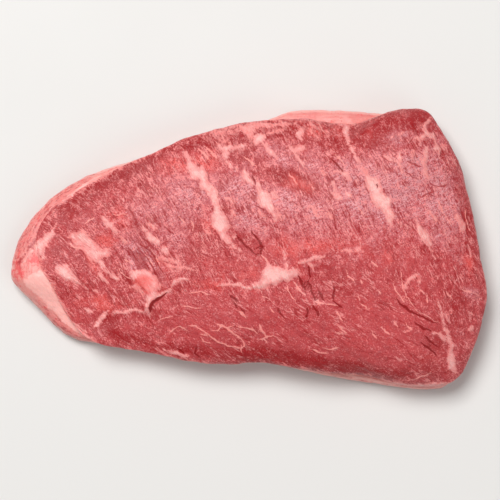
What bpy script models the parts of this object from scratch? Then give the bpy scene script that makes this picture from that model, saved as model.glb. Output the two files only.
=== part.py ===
"""A raw picanha, the rump cap of beef: a three-cornered slab of red muscle on its cap of fat.

It lies on the fat with the lean side up. X runs from the thin point (-X) to the thick end (+X),
Y across, Z up, and the origin is on the table under the middle of the piece. The sizes below are
in millimetres, and the MM factor turns them into Blender's metres.

Plan: both pieces are worked out from two closed lines seen from above, the edge of the lean and the
edge of the fat. Where the fat's edge lies outside the lean's, the fat wraps up round the muscle and
shows as a pale band. Where it lies inside, the muscle rolls over the fat and hides it.
"""

import math

import bmesh
import bpy
import numpy as np

MM = 0.001

# ---------------------------------------------------------------- driving sizes, in millimetres

HALF_LENGTH = 152.0
HALF_WIDTH = 90.5
CENTRE = np.array([6.0, 2.0])

FAT_THICKNESS = 9.0
FAT_WRAP_SLOPE = 0.52
FULL_WRAP = 12.0
FAT_WIDEST_SHARE = 0.42
FAT_FOOT_TUCK = 5.0
GAP = 0.3

THICK_END_HEIGHT = 47.0
POINT_DROP = 27.0
THICKEST_X = 95.0
POINT_RUN = 247.0
POINT_POWER = 1.4
BUTT_DROP = 8.0
SIDE_DROP = 5.0
RIM_WALL = 13.0
WRAPPED_LIP = 1.0
LEAST_TUCK = 0.6
ROLL_TUCK = 5.0
ROLL_STARTS = -1.0
FULL_ROLL = 4.0
SLOPE_POWER = 3.4
SHOULDER_POWER = 0.62

# The edge of the lean from above, counter-clockwise from the thick end's lower bulge.
LEAN_EDGE = (
    (151.4, -26), (148, -9), (145, 10), (141, 29), (136.5, 48), (129, 64.5), (121, 78),
    (113.5, 88), (104, 90.5), (94, 88.8), (83, 85.6), (73, 80.6), (60, 80.2), (45, 82.4),
    (27, 83.4), (11, 82.3), (-7, 80), (-24, 75.6), (-40, 71), (-56, 63), (-71, 56.8),
    (-91, 47.6), (-111, 36.2), (-127, 23.8), (-135, 11), (-134.5, 0), (-131.5, -12.5),
    (-124.5, -23), (-119.5, -35), (-111.5, -47.5), (-99, -58.6), (-77, -63.4), (-55, -67),
    (-34, -70.8), (-12, -72.4), (9, -71.2), (29, -75), (50, -78.2), (72, -79.8), (94, -85),
    (112, -86.6), (126, -85.6), (134, -80), (141, -67), (147.5, -49),
)

# The edge of the fat from above. Under the thick end it stays inside the lean.
FAT_EDGE = (
    (146, -26), (143, -9), (140, 9), (136, 27), (131, 45), (124, 60), (117, 73), (108, 84),
    (96, 87), (82, 87.8), (65, 89.3), (42, 90), (25, 88.4), (12, 82.8), (-7, 79.4),
    (-24, 75), (-40, 70.4), (-56, 63.2), (-71, 58.6), (-91, 52.6), (-112, 43), (-128, 32),
    (-140, 20), (-148, 5), (-151.6, -9), (-152, -19.5), (-145, -27.5), (-136, -37.5),
    (-125, -47.6), (-114, -56), (-99, -60.4), (-77, -64), (-55, -67.8), (-44, -71),
    (-34, -71.2), (-12, -71.8), (9, -70.8), (29, -76.4), (50, -80.8), (72, -84.6), (94, -88.2),
    (112, -90), (126, -89), (131, -82), (137, -66), (143, -48),
)

# Swells and hollows of the top: x, y, radius along, radius across, turn in degrees, height.
SWELLS = {
    "roll at the upper corner": (105, 77, 20, 14, -20, 6.0),
    "hollow beside the roll": (82, 74, 13, 15, 10, -4.5),
    "red hollow in the upper face": (40, 42, 22, 10, -5, -2.2),
    "swell over the left third": (-88, 18, 34, 20, 25, 2.0),
    "trough in the left third": (-72, -6, 24, 7, -38, -1.9),
    "swell at the lower corner": (118, -52, 26, 20, 30, 2.4),
    "furrow to the lower corner": (112, -46, 26, 5, -28, -1.2),
    "middle hollow": (38, -22, 16, 12, -30, -2.0),
    "swell of the trimmed face": (-10, -48, 46, 14, -4, 1.6),
    "hollow under the upper edge": (0, 60, 24, 9, 12, -1.8),
}

# The step along which the skinned upper face ends and the trimmed lower face begins.
STEP_LINE = (
    (-100, -47), (-82, -41), (-64, -40.5), (-57, -30), (-41, -20.5), (-18, -24.5), (8, -24.5),
    (23, -20), (32, -9), (48, -5.5), (62, 0), (84, 3),
)
STEP_HEIGHT = 1.6
STEP_SOFTNESS = 2.2
STEP_REACH = 22.0
STEP_BEGINS = (-112, -88)
STEP_ENDS = (-50, 10)

# Waves of the trimmed fat edge: how many go round, their size and their phase.
EDGE_WAVES = ((11, 0.35, 0.4), (19, 0.25, 1.9), (31, 0.15, 3.1))
EDGE_WAVE_INSET = 0.3
WALL_WAVES = ((5, 1.2, 2.2), (9, 0.9, 0.7), (14, 0.5, 4.0))

# ---------------------------------------------------------------- how finely each face is cut

LEAN_CELLS = 44
HIDDEN_CELLS = 20
FOOT_CELLS = 20
WALL_LAYERS = 4
FAT_BAND_LAYERS = 3
FAT_FOOT_LAYERS = 3
HIDDEN_RING = 0.93
FLAT_RING = 0.9
RIM_CROWDING = 1.25
DISH_POWER = 4.0
EDGE_STEPS = 24

LEAN_COLOUR = (0.42, 0.045, 0.055, 1)
LEAN_ROUGHNESS = 0.4
FAT_COLOUR = (0.83, 0.40, 0.34, 1)
FAT_ROUGHNESS = 0.45


# ---------------------------------------------------------------- plan: bearings, rings and edges


def closed_curve(points):
    """A smooth closed line through the points, as rows of x, y."""
    here = np.array(points, float)
    before, after, beyond = (np.roll(here, shift, axis=0) for shift in (1, -1, -2))
    t = np.linspace(0, 1, EDGE_STEPS, endpoint=False)[:, None, None]
    line = 0.5 * (
        2 * here
        + (after - before) * t
        + (2 * before - 5 * here + 4 * after - beyond) * t**2
        + (3 * here - before - 3 * after + beyond) * t**3
    )
    return line.transpose(1, 0, 2).reshape(-1, 2)


def reach_by_bearing(points):
    """The edge as a bearing from the centre and a reach, where 1 is the ellipse of the half sizes."""
    offset = (closed_curve(points) - CENTRE) / (HALF_LENGTH, HALF_WIDTH)
    bearing = np.arctan2(offset[:, 1], offset[:, 0])
    order = np.argsort(bearing)
    return bearing[order], np.hypot(*offset.T)[order]


LEAN_REACH = reach_by_bearing(LEAN_EDGE)
FAT_REACH = reach_by_bearing(FAT_EDGE)


def edge_point(table, bearing):
    """Where the edge lies at a bearing, as rows of x, y."""
    reach = np.interp(bearing, *table, period=2 * math.pi)
    around = np.stack([np.cos(bearing), np.sin(bearing)], axis=1)
    return CENTRE + around * reach[:, None] * (HALF_LENGTH, HALF_WIDTH)


def bearing_of(xy):
    offset = (xy - CENTRE) / (HALF_LENGTH, HALF_WIDTH)
    return np.arctan2(offset[:, 1], offset[:, 0])


def inward(bearing):
    """The direction from the edge to the centre, of length 1."""
    away = np.stack([np.cos(bearing) * HALF_LENGTH, np.sin(bearing) * HALF_WIDTH], axis=1)
    return -away / np.linalg.norm(away, axis=1)[:, None]


def round_grid(mesh, cells):
    """Adds a square grid and returns its points, with the bearing and ring (0 to 1) of each.

    Every square ring of the grid becomes a round one, so the rows follow the edge of the meat.
    """
    made = bmesh.ops.create_grid(mesh, x_segments=cells, y_segments=cells, size=1)["verts"]
    across, along = np.array([vert.co[:2] for vert in made]).T
    ring = np.maximum(abs(across), abs(along))
    wide = abs(across) > abs(along)
    share = np.divide(
        np.where(wide, along, across),
        np.where(wide, across, along),
        out=np.zeros_like(across),
        where=ring > 0,
    )
    turn = math.pi / 4 * share
    bearing = np.where(wide, turn, math.pi / 2 - turn)
    backward = np.where(wide, across, along) < 0
    return made, bearing + math.pi * backward, ring


# ---------------------------------------------------------------- heights


def band_width(bearing):
    """How far the fat shows outside the lean, in plan. It is negative where the lean rolls over."""
    lean = edge_point(LEAN_REACH, bearing) - CENTRE
    fat = edge_point(FAT_REACH, bearing) - CENTRE
    return np.linalg.norm(fat, axis=1) - np.linalg.norm(lean, axis=1)


def eased(value, low, high):
    share = np.clip((value - low) / (high - low), 0, 1)
    return share * share * (3 - 2 * share)


def seam_height(bearing):
    """The height at which lean and fat meet at the side."""
    return FAT_THICKNESS + FAT_WRAP_SLOPE * np.clip(band_width(bearing), 0, None)


def wall_height(bearing):
    """The height of the lean's own side above that seam."""
    wall = RIM_WALL + sum(size * np.sin(count * bearing + phase) for count, size, phase in WALL_WAVES)
    wrapped = eased(band_width(bearing), 0, FULL_WRAP)
    return wall + (WRAPPED_LIP - wall) * wrapped


def tuck(bearing):
    """How far the lean's side draws in between its widest line and the seam."""
    rolled = eased(-band_width(bearing), ROLL_STARTS, FULL_ROLL)
    return LEAST_TUCK + (ROLL_TUCK - LEAST_TUCK) * rolled


def seam_point(bearing):
    return edge_point(LEAN_REACH, bearing) + inward(bearing) * tuck(bearing)[:, None]


def widest_fat_point(bearing):
    """The fat's widest line, with the slight waves of a trimmed edge."""
    wave = sum(size * np.sin(count * bearing + phase) for count, size, phase in EDGE_WAVES)
    return edge_point(FAT_REACH, bearing) + inward(bearing) * (EDGE_WAVE_INSET + wave)[:, None]


def swell_height(x, y):
    total = np.zeros_like(x)
    for east, north, along, across, turn, height in SWELLS.values():
        angle = math.radians(turn)
        run = (x - east) * math.cos(angle) + (y - north) * math.sin(angle)
        side = (y - north) * math.cos(angle) - (x - east) * math.sin(angle)
        total += height * np.exp(-((run / along) ** 2) - (side / across) ** 2)
    return total


def step_height(x, y):
    """Half a step up on the skinned side of the step line and half a step down on the other."""
    line_x, line_y = np.array(STEP_LINE, float).T
    side = y - np.interp(x, line_x, line_y)
    fade = eased(x, *STEP_BEGINS) * (1 - eased(x, *STEP_ENDS)) * np.exp(-((side / STEP_REACH) ** 2))
    return 0.5 * STEP_HEIGHT * np.tanh(side / STEP_SOFTNESS) * fade


def crown_height(x, y):
    """The top of the lean before it falls away at the edge."""
    towards_point = np.clip((THICKEST_X - x) / POINT_RUN, 0, None)
    towards_butt = np.clip((x - THICKEST_X) / (HALF_LENGTH - THICKEST_X), 0, None)
    spine = THICK_END_HEIGHT - POINT_DROP * towards_point**POINT_POWER - BUTT_DROP * towards_butt**2
    return spine - SIDE_DROP * (y / HALF_WIDTH) ** 2 + swell_height(x, y) + step_height(x, y)


# ---------------------------------------------------------------- building the solids


def place(verts, xy, height):
    for vert, (x, y), z in zip(verts, xy, height):
        vert.co = (x * MM, y * MM, z * MM)


def open_edges(mesh):
    return [edge for edge in mesh.edges if edge.is_boundary]


def next_ring(mesh, rim):
    """Extrudes the open rim once. It returns the new edges, points and their bearings."""
    made = bmesh.ops.extrude_edge_only(mesh, edges=rim)["geom"]
    verts = [item for item in made if isinstance(item, bmesh.types.BMVert)]
    edges = [item for item in made if isinstance(item, bmesh.types.BMEdge) and item.is_boundary]
    xy = np.array([vert.co[:2] for vert in verts]) / MM
    return edges, verts, bearing_of(xy)


def close_with_grid(mesh, rim, cells, outer_ring, place_ring):
    """Closes the open rim with a round grid, which place_ring sets in place."""
    verts, bearing, ring = round_grid(mesh, cells)
    place_ring(verts, bearing, ring * outer_ring)
    inner = {edge for vert in verts for edge in vert.link_edges if edge.is_boundary}
    bmesh.ops.bridge_loops(mesh, edges=[*rim, *inner])


def dish(bearing, ring):
    """A point of the dished face between fat and lean: rows of x, y, and the heights."""
    xy = CENTRE + (seam_point(bearing) - CENTRE) * ring[:, None]
    rise = seam_height(bearing) - FAT_THICKNESS
    return xy, FAT_THICKNESS + rise * ring**DISH_POWER


def finished(name, mesh, colour, roughness):
    """Makes the object with its material and puts it in the picanha's collection."""
    bmesh.ops.triangulate(mesh, faces=mesh.faces[:], quad_method="SHORT_EDGE")
    bmesh.ops.recalc_face_normals(mesh, faces=mesh.faces[:])
    data = bpy.data.meshes.new(name)
    mesh.to_mesh(data)
    mesh.free()
    data.shade_smooth()
    material = bpy.data.materials.new(name)
    material.use_nodes = True
    shader = material.node_tree.nodes["Principled BSDF"]
    shader.inputs["Base Color"].default_value = colour
    shader.inputs["Roughness"].default_value = roughness
    data.materials.append(material)
    piece = bpy.data.objects.new(name, data)
    bpy.data.collections["picanha"].objects.link(piece)
    return piece


def build_lean():
    """The muscle: a domed top that falls to its widest line, a tucked side and a dished base."""
    mesh = bmesh.new()
    verts, bearing, grid_ring = round_grid(mesh, LEAN_CELLS)
    ring = 1 - (1 - grid_ring) ** RIM_CROWDING
    edge = edge_point(LEAN_REACH, bearing)
    xy = CENTRE + (edge - CENTRE) * ring[:, None]
    shoulder = seam_height(bearing) + wall_height(bearing)
    crown = np.maximum(crown_height(*xy.T), shoulder)
    dome = (1 - ring**SLOPE_POWER) ** SHOULDER_POWER
    place(verts, xy, shoulder + (crown - shoulder) * dome)

    rim = open_edges(mesh)
    for layer in range(1, WALL_LAYERS + 1):
        rim, verts, bearing = next_ring(mesh, rim)
        quarter = math.pi / 2 * layer / WALL_LAYERS
        drawn_in = tuck(bearing) * (1 - math.cos(quarter))
        xy = edge_point(LEAN_REACH, bearing) + inward(bearing) * drawn_in[:, None]
        drop = (wall_height(bearing) - GAP) * math.sin(quarter)
        place(verts, xy, seam_height(bearing) + wall_height(bearing) - drop)

    def on_the_dish(verts, bearing, ring):
        xy, height = dish(bearing, ring)
        place(verts, xy, height + GAP)

    close_with_grid(mesh, rim, HIDDEN_CELLS, HIDDEN_RING, on_the_dish)
    return finished("lean", mesh, LEAN_COLOUR, LEAN_ROUGHNESS)


def build_fat_cap():
    """The fat: a dished slab whose edge slopes out from the seam, rounds over and tucks in below."""
    mesh = bmesh.new()
    bmesh.ops.create_circle(mesh, segments=4 * LEAN_CELLS, radius=1)
    seam_ring = mesh.edges[:]
    bearing = np.array([math.atan2(vert.co.y, vert.co.x) for vert in mesh.verts])
    place(mesh.verts, seam_point(bearing), seam_height(bearing))

    rim = seam_ring
    for layer in range(1, FAT_BAND_LAYERS + 1):
        rim, verts, bearing = next_ring(mesh, rim)
        quarter = math.pi / 2 * layer / FAT_BAND_LAYERS
        seam = seam_point(bearing)
        out = (widest_fat_point(bearing) - seam) * math.sin(quarter)
        fall = 1 - (1 - FAT_WIDEST_SHARE) * (1 - math.cos(quarter))
        place(verts, seam + out, seam_height(bearing) * fall)
    for layer in range(1, FAT_FOOT_LAYERS + 1):
        rim, verts, bearing = next_ring(mesh, rim)
        quarter = math.pi / 2 * layer / FAT_FOOT_LAYERS
        drawn_in = inward(bearing) * FAT_FOOT_TUCK * (1 - math.cos(quarter))
        height = seam_height(bearing) * FAT_WIDEST_SHARE * (1 - math.sin(quarter))
        place(verts, widest_fat_point(bearing) + drawn_in, height)

    def on_the_table(verts, bearing, ring):
        foot = widest_fat_point(bearing) + inward(bearing) * FAT_FOOT_TUCK
        place(verts, CENTRE + (foot - CENTRE) * ring[:, None], np.zeros_like(ring))

    def on_the_dish(verts, bearing, ring):
        place(verts, *dish(bearing, ring))

    close_with_grid(mesh, rim, FOOT_CELLS, FLAT_RING, on_the_table)
    close_with_grid(mesh, seam_ring, HIDDEN_CELLS, HIDDEN_RING, on_the_dish)
    return finished("fat_cap", mesh, FAT_COLOUR, FAT_ROUGHNESS)


def main():
    for thing in list(bpy.data.objects):
        bpy.data.objects.remove(thing)
    collection = bpy.data.collections.new("picanha")
    bpy.context.scene.collection.children.link(collection)
    build_lean()
    build_fat_cap()


main()
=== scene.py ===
"""The looks of a raw picanha, the rump cap of beef, lying on its fat with the lean side up.

The lean and the fat cap are modelled again as fine meshes over the two solids of the frame, with the
relief of the meat, and get the wet muscle, the silverskin and the fat. The file is laid out as an
add-on and run as a script. Shapes and marks are in millimetres in the frame's own axes: X from the
thin point to the thick end, Y across, Z up. The properties are in metres, as in Blender.
"""

import math

import bmesh
import bpy
import numpy as np
from bpy.props import FloatProperty, FloatVectorProperty, IntProperty, PointerProperty
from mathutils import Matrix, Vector, noise


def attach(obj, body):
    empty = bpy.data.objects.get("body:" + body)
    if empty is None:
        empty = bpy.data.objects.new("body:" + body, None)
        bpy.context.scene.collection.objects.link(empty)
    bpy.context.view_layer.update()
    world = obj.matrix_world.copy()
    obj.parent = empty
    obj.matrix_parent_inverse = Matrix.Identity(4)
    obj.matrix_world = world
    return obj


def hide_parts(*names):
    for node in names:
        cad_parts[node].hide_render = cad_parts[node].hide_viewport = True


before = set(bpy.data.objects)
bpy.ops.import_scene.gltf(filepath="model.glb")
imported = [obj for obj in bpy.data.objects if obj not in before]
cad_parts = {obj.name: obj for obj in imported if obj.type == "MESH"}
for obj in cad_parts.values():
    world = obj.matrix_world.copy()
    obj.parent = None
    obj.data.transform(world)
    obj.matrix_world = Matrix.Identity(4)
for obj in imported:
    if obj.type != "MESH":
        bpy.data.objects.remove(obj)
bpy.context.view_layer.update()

bl_info = {
    "name": "Raw Picanha",
    "version": (1, 0, 0),
    "blender": (4, 5, 0),
    "location": "3D View > Sidebar > Picanha",
    "description": "Models a raw picanha with its marbling, silverskin and cap of fat",
    "category": "Add Mesh",
}

MM = 0.001

# ---- form, in millimetres

# In plan, the edges are given by bearing round CENTRE, as shares of an ellipse of these half sizes.
HALF_LENGTH = 152.0
HALF_WIDTH = 90.5
CENTRE = np.array([6.0, 2.0])
EDGE_COLUMNS = 176
FINE_COLUMNS = 1408
EDGE_SMOOTHING = 40

# The fat lies flat under the lean, and its seam rises where it shows outside the lean. Its edge is
# widest at a share of that height and tucks in at the foot.
FAT_THICKNESS = 9.0
FAT_WRAP_SLOPE = 0.52
FULL_WRAP = 12.0
FAT_WIDEST_SHARE = 0.42
FAT_FOOT_TUCK = 5.0
CONTACT_GAP = 0.05
DISH_POWER = 4.0

# The top of the lean falls from the thick end to the thin point, and a little to the butt and sides.
THICK_END_HEIGHT = 47.0
POINT_DROP = 27.0
THICKEST_X = 95.0
POINT_RUN = 247.0
POINT_POWER = 1.4
BUTT_DROP = 8.0
SIDE_DROP = 5.0
SLOPE_POWER = 3.4
SHOULDER_POWER = 0.62

# The lean's own side stands RIM_WALL high, or is only a lip where the fat wraps it. It tucks in below,
# most where the lean rolls over the fat. Each wave of its height has a count, a size and a phase.
RIM_WALL = 13.0
WRAPPED_LIP = 1.0
WALL_WAVES = ((5, 1.2, 2.2), (9, 0.9, 0.7), (14, 0.5, 4.0))
LEAST_TUCK = 0.6
ROLL_TUCK = 5.0
ROLL_STARTS = -1.0
FULL_ROLL = 4.0

# Rows of faces crowd towards the rim. The faces inside the seam don't show, so they are few.
RIM_CROWDING = 1.25
FOOT_LAYERS = 8
HIDDEN_CELLS = 40
HIDDEN_RING = 0.96
UNDERSIDE_CELLS = 110
UNDERSIDE_RING = 0.985

# Swells and hollows of the top: x, y, radius along, radius across, turn in degrees, height.
SWELLS = {
    "roll at the upper corner": (105, 77, 20, 14, -20, 6.0),
    "hollow beside the roll": (82, 74, 13, 15, 10, -4.5),
    "red hollow in the upper face": (40, 42, 22, 10, -5, -2.2),
    "swell over the left third": (-88, 18, 34, 20, 25, 2.0),
    "trough in the left third": (-72, -6, 24, 7, -38, -1.9),
    "swell at the lower corner": (118, -52, 26, 20, 30, 2.4),
    "furrow to the lower corner": (112, -46, 26, 5, -28, -1.2),
    "middle hollow": (38, -22, 16, 12, -30, -2.0),
    "swell of the trimmed face": (-10, -48, 46, 14, -4, 1.6),
    "hollow under the upper edge": (0, 60, 24, 9, 12, -1.8),
}

# The step along which the skinned upper face ends and the trimmed lower face begins.
STEP_LINE = (
    (-100, -47), (-82, -41), (-64, -40.5), (-57, -30), (-41, -20.5), (-18, -24.5), (8, -24.5),
    (23, -20), (32, -9), (48, -5.5), (62, 0), (84, 3),
)
STEP_HEIGHT = 1.6
STEP_SOFTNESS = 2.2
STEP_REACH = 22.0
STEP_BEGINS = (-112, -88)
STEP_ENDS = (-50, 10)

# ---- marks on the meat

# Outlines of the broad marks: the x, y of their corners.
WHITE_AREAS = {
    "vein into the point": (
        (-121.5, 17.9), (-123.7, 15.4), (-125, 11.9), (-127.9, 10.6), (-131.1, 8.1), (-134, 5.9),
        (-136.8, 2.4), (-135.2, -0.2), (-133.3, -3.3), (-131.7, -6.8), (-129.7, -5.2), (-129.7, -0.2),
        (-129.1, 3.6), (-127.5, 5.6), (-124.7, 7.2), (-123.2, 9.4), (-123.8, 12.2), (-122.6, 15.1),
    ),
    "upper streak in the left third": (
        (-93.3, 21), (-92, 21.7), (-90.1, 20.7), (-88.2, 18.8), (-85.6, 16.3), (-84.3, 14.4), (-83.1, 11.8),
        (-81.5, 8.7), (-83.1, 9.6), (-85.6, 11.5), (-87.5, 13.1), (-89.4, 14.7), (-90.7, 16.3), (-92, 18.5),
    ),
    "patch in the left third": (
        (-113.1, 9), (-111.8, 10), (-109.3, 10.3), (-107.4, 11.2), (-105.4, 11.6), (-103.5, 10.6),
        (-102.2, 9), (-101, 7.4), (-99, 5.5), (-97.8, 3.6), (-96.5, 1.7), (-95.8, -0.2), (-93.3, -0.2),
        (-91.4, 0.2), (-89.4, -0.8), (-90.1, -2.7), (-91.4, -4.6), (-93.9, -4.6), (-95.2, -6.5),
        (-97.1, -6.5), (-99, -5.2), (-101, -3.3), (-102.9, -1.4), (-104.8, -0.2), (-101.6, 0.8),
        (-104.2, 4), (-106.7, 4), (-108, 5.5), (-110.6, 6.2), (-113.1, 7.1),
    ),
    "streak under the patch's tail": (
        (-95.2, -14.7), (-93.3, -14.1), (-91.4, -17.2), (-88.8, -19.8), (-87.5, -21.7), (-89.4, -21.7),
        (-92.6, -19.8), (-94.6, -17.2),
    ),
    "patch at the lower left": (
        (-122.8, -10.3), (-119.6, -9), (-115.1, -9.7), (-113.1, -12.8), (-109.3, -16), (-106.7, -19.8),
        (-104.2, -23), (-101.6, -24.8), (-104.2, -24.2), (-108, -21.1), (-113.1, -19.8), (-117, -18.5),
        (-120.8, -16), (-123.4, -12.9),
    ),
    "upper part of the right streak": (
        (-65.3, 11.8), (-62.1, 11.2), (-59.6, 8.7), (-57.6, 6.8), (-55.7, 4.9), (-55.7, 3), (-57.6, 3.6),
        (-60.2, 4.3), (-62.7, 6.1), (-64.6, 7.4),
    ),
    "knot of the right streak": (
        (-55.1, 2.4), (-51.9, 2.4), (-50.7, 0.5), (-49.4, -1.4), (-50, -3.3), (-52.6, -3.3), (-54.5, -2.1),
        (-55.7, -0.2),
    ),
    "flap's upper rim": (
        (-76.1, -14), (-74.2, -12.8), (-70.3, -12.8), (-65.9, -12.8), (-62.7, -13.4), (-60.8, -15.3),
        (-58.9, -17.5), (-60.2, -17.8), (-62.7, -16.9), (-65.3, -15.9), (-67.8, -15.6), (-69.7, -16.6),
        (-71.6, -17.8), (-71.9, -19.7), (-73.5, -17.8), (-74.8, -15.9),
    ),
    "foot of the flap": (
        (-64, -28.5), (-62.1, -27.9), (-60.2, -26.6), (-58.3, -26.6), (-57, -28.5), (-56.4, -29.8),
        (-58.3, -31), (-60.2, -32.9), (-61.5, -35.5), (-62.1, -38), (-61.5, -39.6), (-64, -39.9),
        (-65.3, -38.6), (-64.6, -34.8), (-64.6, -31.7),
    ),
    "long streak, upper half": (
        (-41.8, 62.8), (-38.7, 62.7), (-36.8, 57.7), (-34.9, 55.2), (-33, 52.7), (-31.1, 51.4),
        (-29.8, 53.9), (-27.9, 51.4), (-26.7, 49.5), (-24.8, 48.8), (-26.1, 46.3), (-25.4, 43.8),
        (-24.2, 41.3), (-22.9, 39.4), (-23.5, 36.3), (-26.7, 36.3), (-28.6, 37.5), (-29.8, 38.8),
        (-30.5, 41.3), (-31.1, 43.2), (-34.3, 43.9), (-36.1, 45.1), (-36.8, 47.6), (-38, 50.2),
        (-39.3, 52.7), (-39.3, 56.5), (-40.6, 59.6),
    ),
    "long streak, lower half": (
        (-26.7, 36.3), (-23.5, 36.3), (-22.9, 39.4), (-21, 38.8), (-18.5, 37.5), (-19.1, 32.5),
        (-18.5, 28.7), (-17.2, 25.6), (-15.4, 22.4), (-13.5, 18.7), (-12.2, 16.2), (-10.3, 13),
        (-14.1, 11.1), (-12.2, 7.4), (-10.3, 5.5), (-8.5, 3), (-5.9, 0.5), (-7.8, 1.1), (-11, 3.6),
        (-14.7, 4.2), (-16.6, 6.7), (-17.9, 9.3), (-20.4, 11.8), (-22.3, 14.3), (-23.5, 16.8),
        (-24.2, 19.9), (-22.3, 23.1), (-21.7, 26.2), (-22.9, 29.4), (-24.2, 33.1),
    ),
    "pale bar by the upper edge": (
        (-20.4, 67.7), (-17.9, 67), (-16, 65.1), (-12.8, 65.4), (-7.8, 65.7), (-4.1, 66.9), (-1.5, 65.7),
        (-3.4, 63.8), (-7.8, 63.2), (-12.2, 62.6), (-12.8, 57.6), (-14.1, 57), (-15.4, 58.8), (-16.6, 62),
        (-18.5, 63.9),
    ),
    "second streak, upper end": (
        (-4.1, 48.8), (-2.8, 50), (-0.9, 48.7), (0.3, 46.2), (1.6, 44.3), (3.5, 42.5), (4.1, 40),
        (2.2, 39.3), (0.3, 41.2), (-1.5, 42.5), (-4.1, 43.7), (-4.4, 46.3),
    ),
    "second streak, lower end": (
        (5.3, 43.1), (6.6, 43.1), (7.9, 40.6), (8.5, 38.1), (11, 36.8), (13.5, 34.9), (14.7, 32.4),
        (15.1, 29.3), (16, 26.8), (16.6, 23.6), (17.9, 20.5), (17.2, 18), (15.4, 19.3), (14.1, 21.8),
        (12.2, 23.6), (11, 24.9), (9.1, 26.2), (7.2, 27.4), (6, 29.3), (5.3, 32.4), (5.3, 35.6), (5, 38.7),
        (5, 41.2),
    ),
    "lobe beside the second streak": (
        (14.1, 37.4), (16, 36.8), (17.9, 34.9), (18.5, 33), (16.6, 31.8), (14.7, 33.7),
    ),
    "tab under the upper edge": (
        (3.2, 71.3), (4.7, 73.5), (7.9, 74.1), (10.4, 72.5), (11, 70), (8.5, 68.1), (5.3, 66.6), (3.8, 66),
        (2.8, 68.2),
    ),
    "streak left of the red hollow": (
        (25.4, 64.3), (27.9, 64.9), (30.4, 62.4), (32.2, 58.6), (34.7, 54.2), (37.2, 49.9), (34.7, 51.1),
        (31.6, 55.5), (29.1, 58.6), (27.2, 61.2),
    ),
    "white spot over that streak": (
        (28.5, 63), (30.4, 64.9), (32.9, 64.3), (35.4, 65.5), (36.6, 63.6), (34.7, 62.4), (31.6, 61.8),
    ),
    "patch by the fat band": (
        (31, 74.9), (32.9, 76.8), (35.4, 76.1), (34.7, 73.6), (33.5, 71.1), (34.7, 69.3), (32.2, 68.6),
        (30.4, 71.2), (30.4, 73),
    ),
    "third streak": (
        (72.1, 43.5), (73.3, 45.4), (75.2, 47.9), (76.4, 46), (79.6, 44.8), (82, 42.9), (83.3, 39.1),
        (84.5, 36), (87.6, 32.9), (88.9, 31), (89.5, 27.9), (90.1, 24.8), (90.8, 21.7), (90.1, 17.9),
        (88.3, 16.1), (87, 17.3), (85.2, 19.8), (84.5, 22.9), (82.7, 24.8), (80.8, 26), (79.6, 27.9),
        (76.4, 29.8), (75.8, 32.3), (75.8, 35.4), (74.6, 37.9), (73.3, 40.4),
    ),
    "white streak right of the middle": (
        (106, 15.7), (108.5, 14.4), (111.1, 11.3), (113.6, 7.5), (115.5, 3.7), (113.6, 2.4), (110.4, 4.3),
        (107.9, 8.7), (106, 12.5),
    ),
    "knot at the corner": (
        (109.8, 73.4), (111.4, 74.4), (113.9, 74.1), (115.8, 72.9), (117, 70.4), (115.5, 69.7),
        (113.9, 71.3), (110.8, 71), (109.5, 70.3),
    ),
    "island": (
        (1.6, -23.7), (4.7, -20.8), (7.2, -19.3), (8.5, -16.5), (9.1, -12.7), (11, -10.2), (11.6, -8.3),
        (13.5, -8), (15.4, -9.6), (19.1, -10.5), (22.2, -12.1), (24.7, -12.7), (27.2, -11.4), (28.5, -10.8),
        (31, -12.7), (32.2, -13.9), (30.4, -16.4), (31.6, -17.7), (29.1, -17.4), (27.2, -17.1),
        (27.9, -18.9), (25.4, -19.6), (20.4, -19.6), (17.9, -21.4), (16, -22.7), (14.7, -21.8),
        (12.2, -23.3), (8.5, -24.3), (5.3, -24.6),
    ),
    # Paler fat at the point, painted lighter still where it slopes away from the lamps: partly the fat's own
    # colour, partly painted light.
    "pale fat and painted light of the point": (
        (-144.1, -19.9), (-140.8, -17.3), (-136.9, -15.4), (-133.1, -12.9), (-129.2, -14.1), (-126, -20.5),
        (-122.8, -27.4), (-118.9, -33.8), (-117, -40.1), (-111.8, -47.1), (-105.4, -52.7), (-99, -56.5),
        (-101.6, -57.1), (-109.3, -53.4), (-117, -47.7), (-123.4, -41.4), (-129.8, -33.8), (-136.3, -27.5),
        (-141.5, -23.1),
    ),
}

PINK_AREAS = {
    "arm of the flap": (
        (-70.3, -21), (-68.4, -23.5), (-66.5, -25.4), (-65.9, -29.2), (-67.8, -28.5), (-70.3, -26),
        (-72.9, -25.1), (-75.4, -24.1), (-72.9, -22.9),
    ),
    "bed of the patch": (
        (-114.4, 8.1), (-110.6, 11.6), (-104.8, 13.1), (-101.6, 10), (-98.4, 6.2), (-94.6, 1.7),
        (-88.8, 0.5), (-88.8, -4), (-93.3, -6.5), (-96.5, -8.4), (-100.3, -6.5), (-104.2, -2.7),
        (-106.7, 1.7), (-111.8, 4.3),
    ),
    "pale rim": (
        (-4.1, 78.9), (1, 80.4), (8.5, 81), (17.2, 80.9), (24.7, 81.2), (25.4, 79), (19.7, 78.1),
        (13.5, 78.4), (8.5, 77.5), (5.3, 76.3), (3.5, 74.4), (2.8, 70.7), (0.3, 69.7), (-1.5, 72.6),
        (-3.4, 75.1),
    ),
    "body of the flap": (
        (-72.2, -13.4), (-67.8, -12.8), (-62.7, -13.4), (-58.9, -15.9), (-56.4, -19.7), (-55.1, -23.5),
        (-57, -26.6), (-61.5, -27.9), (-64.6, -25.4), (-67.8, -21.6), (-70.3, -18.5),
    ),
}

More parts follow.
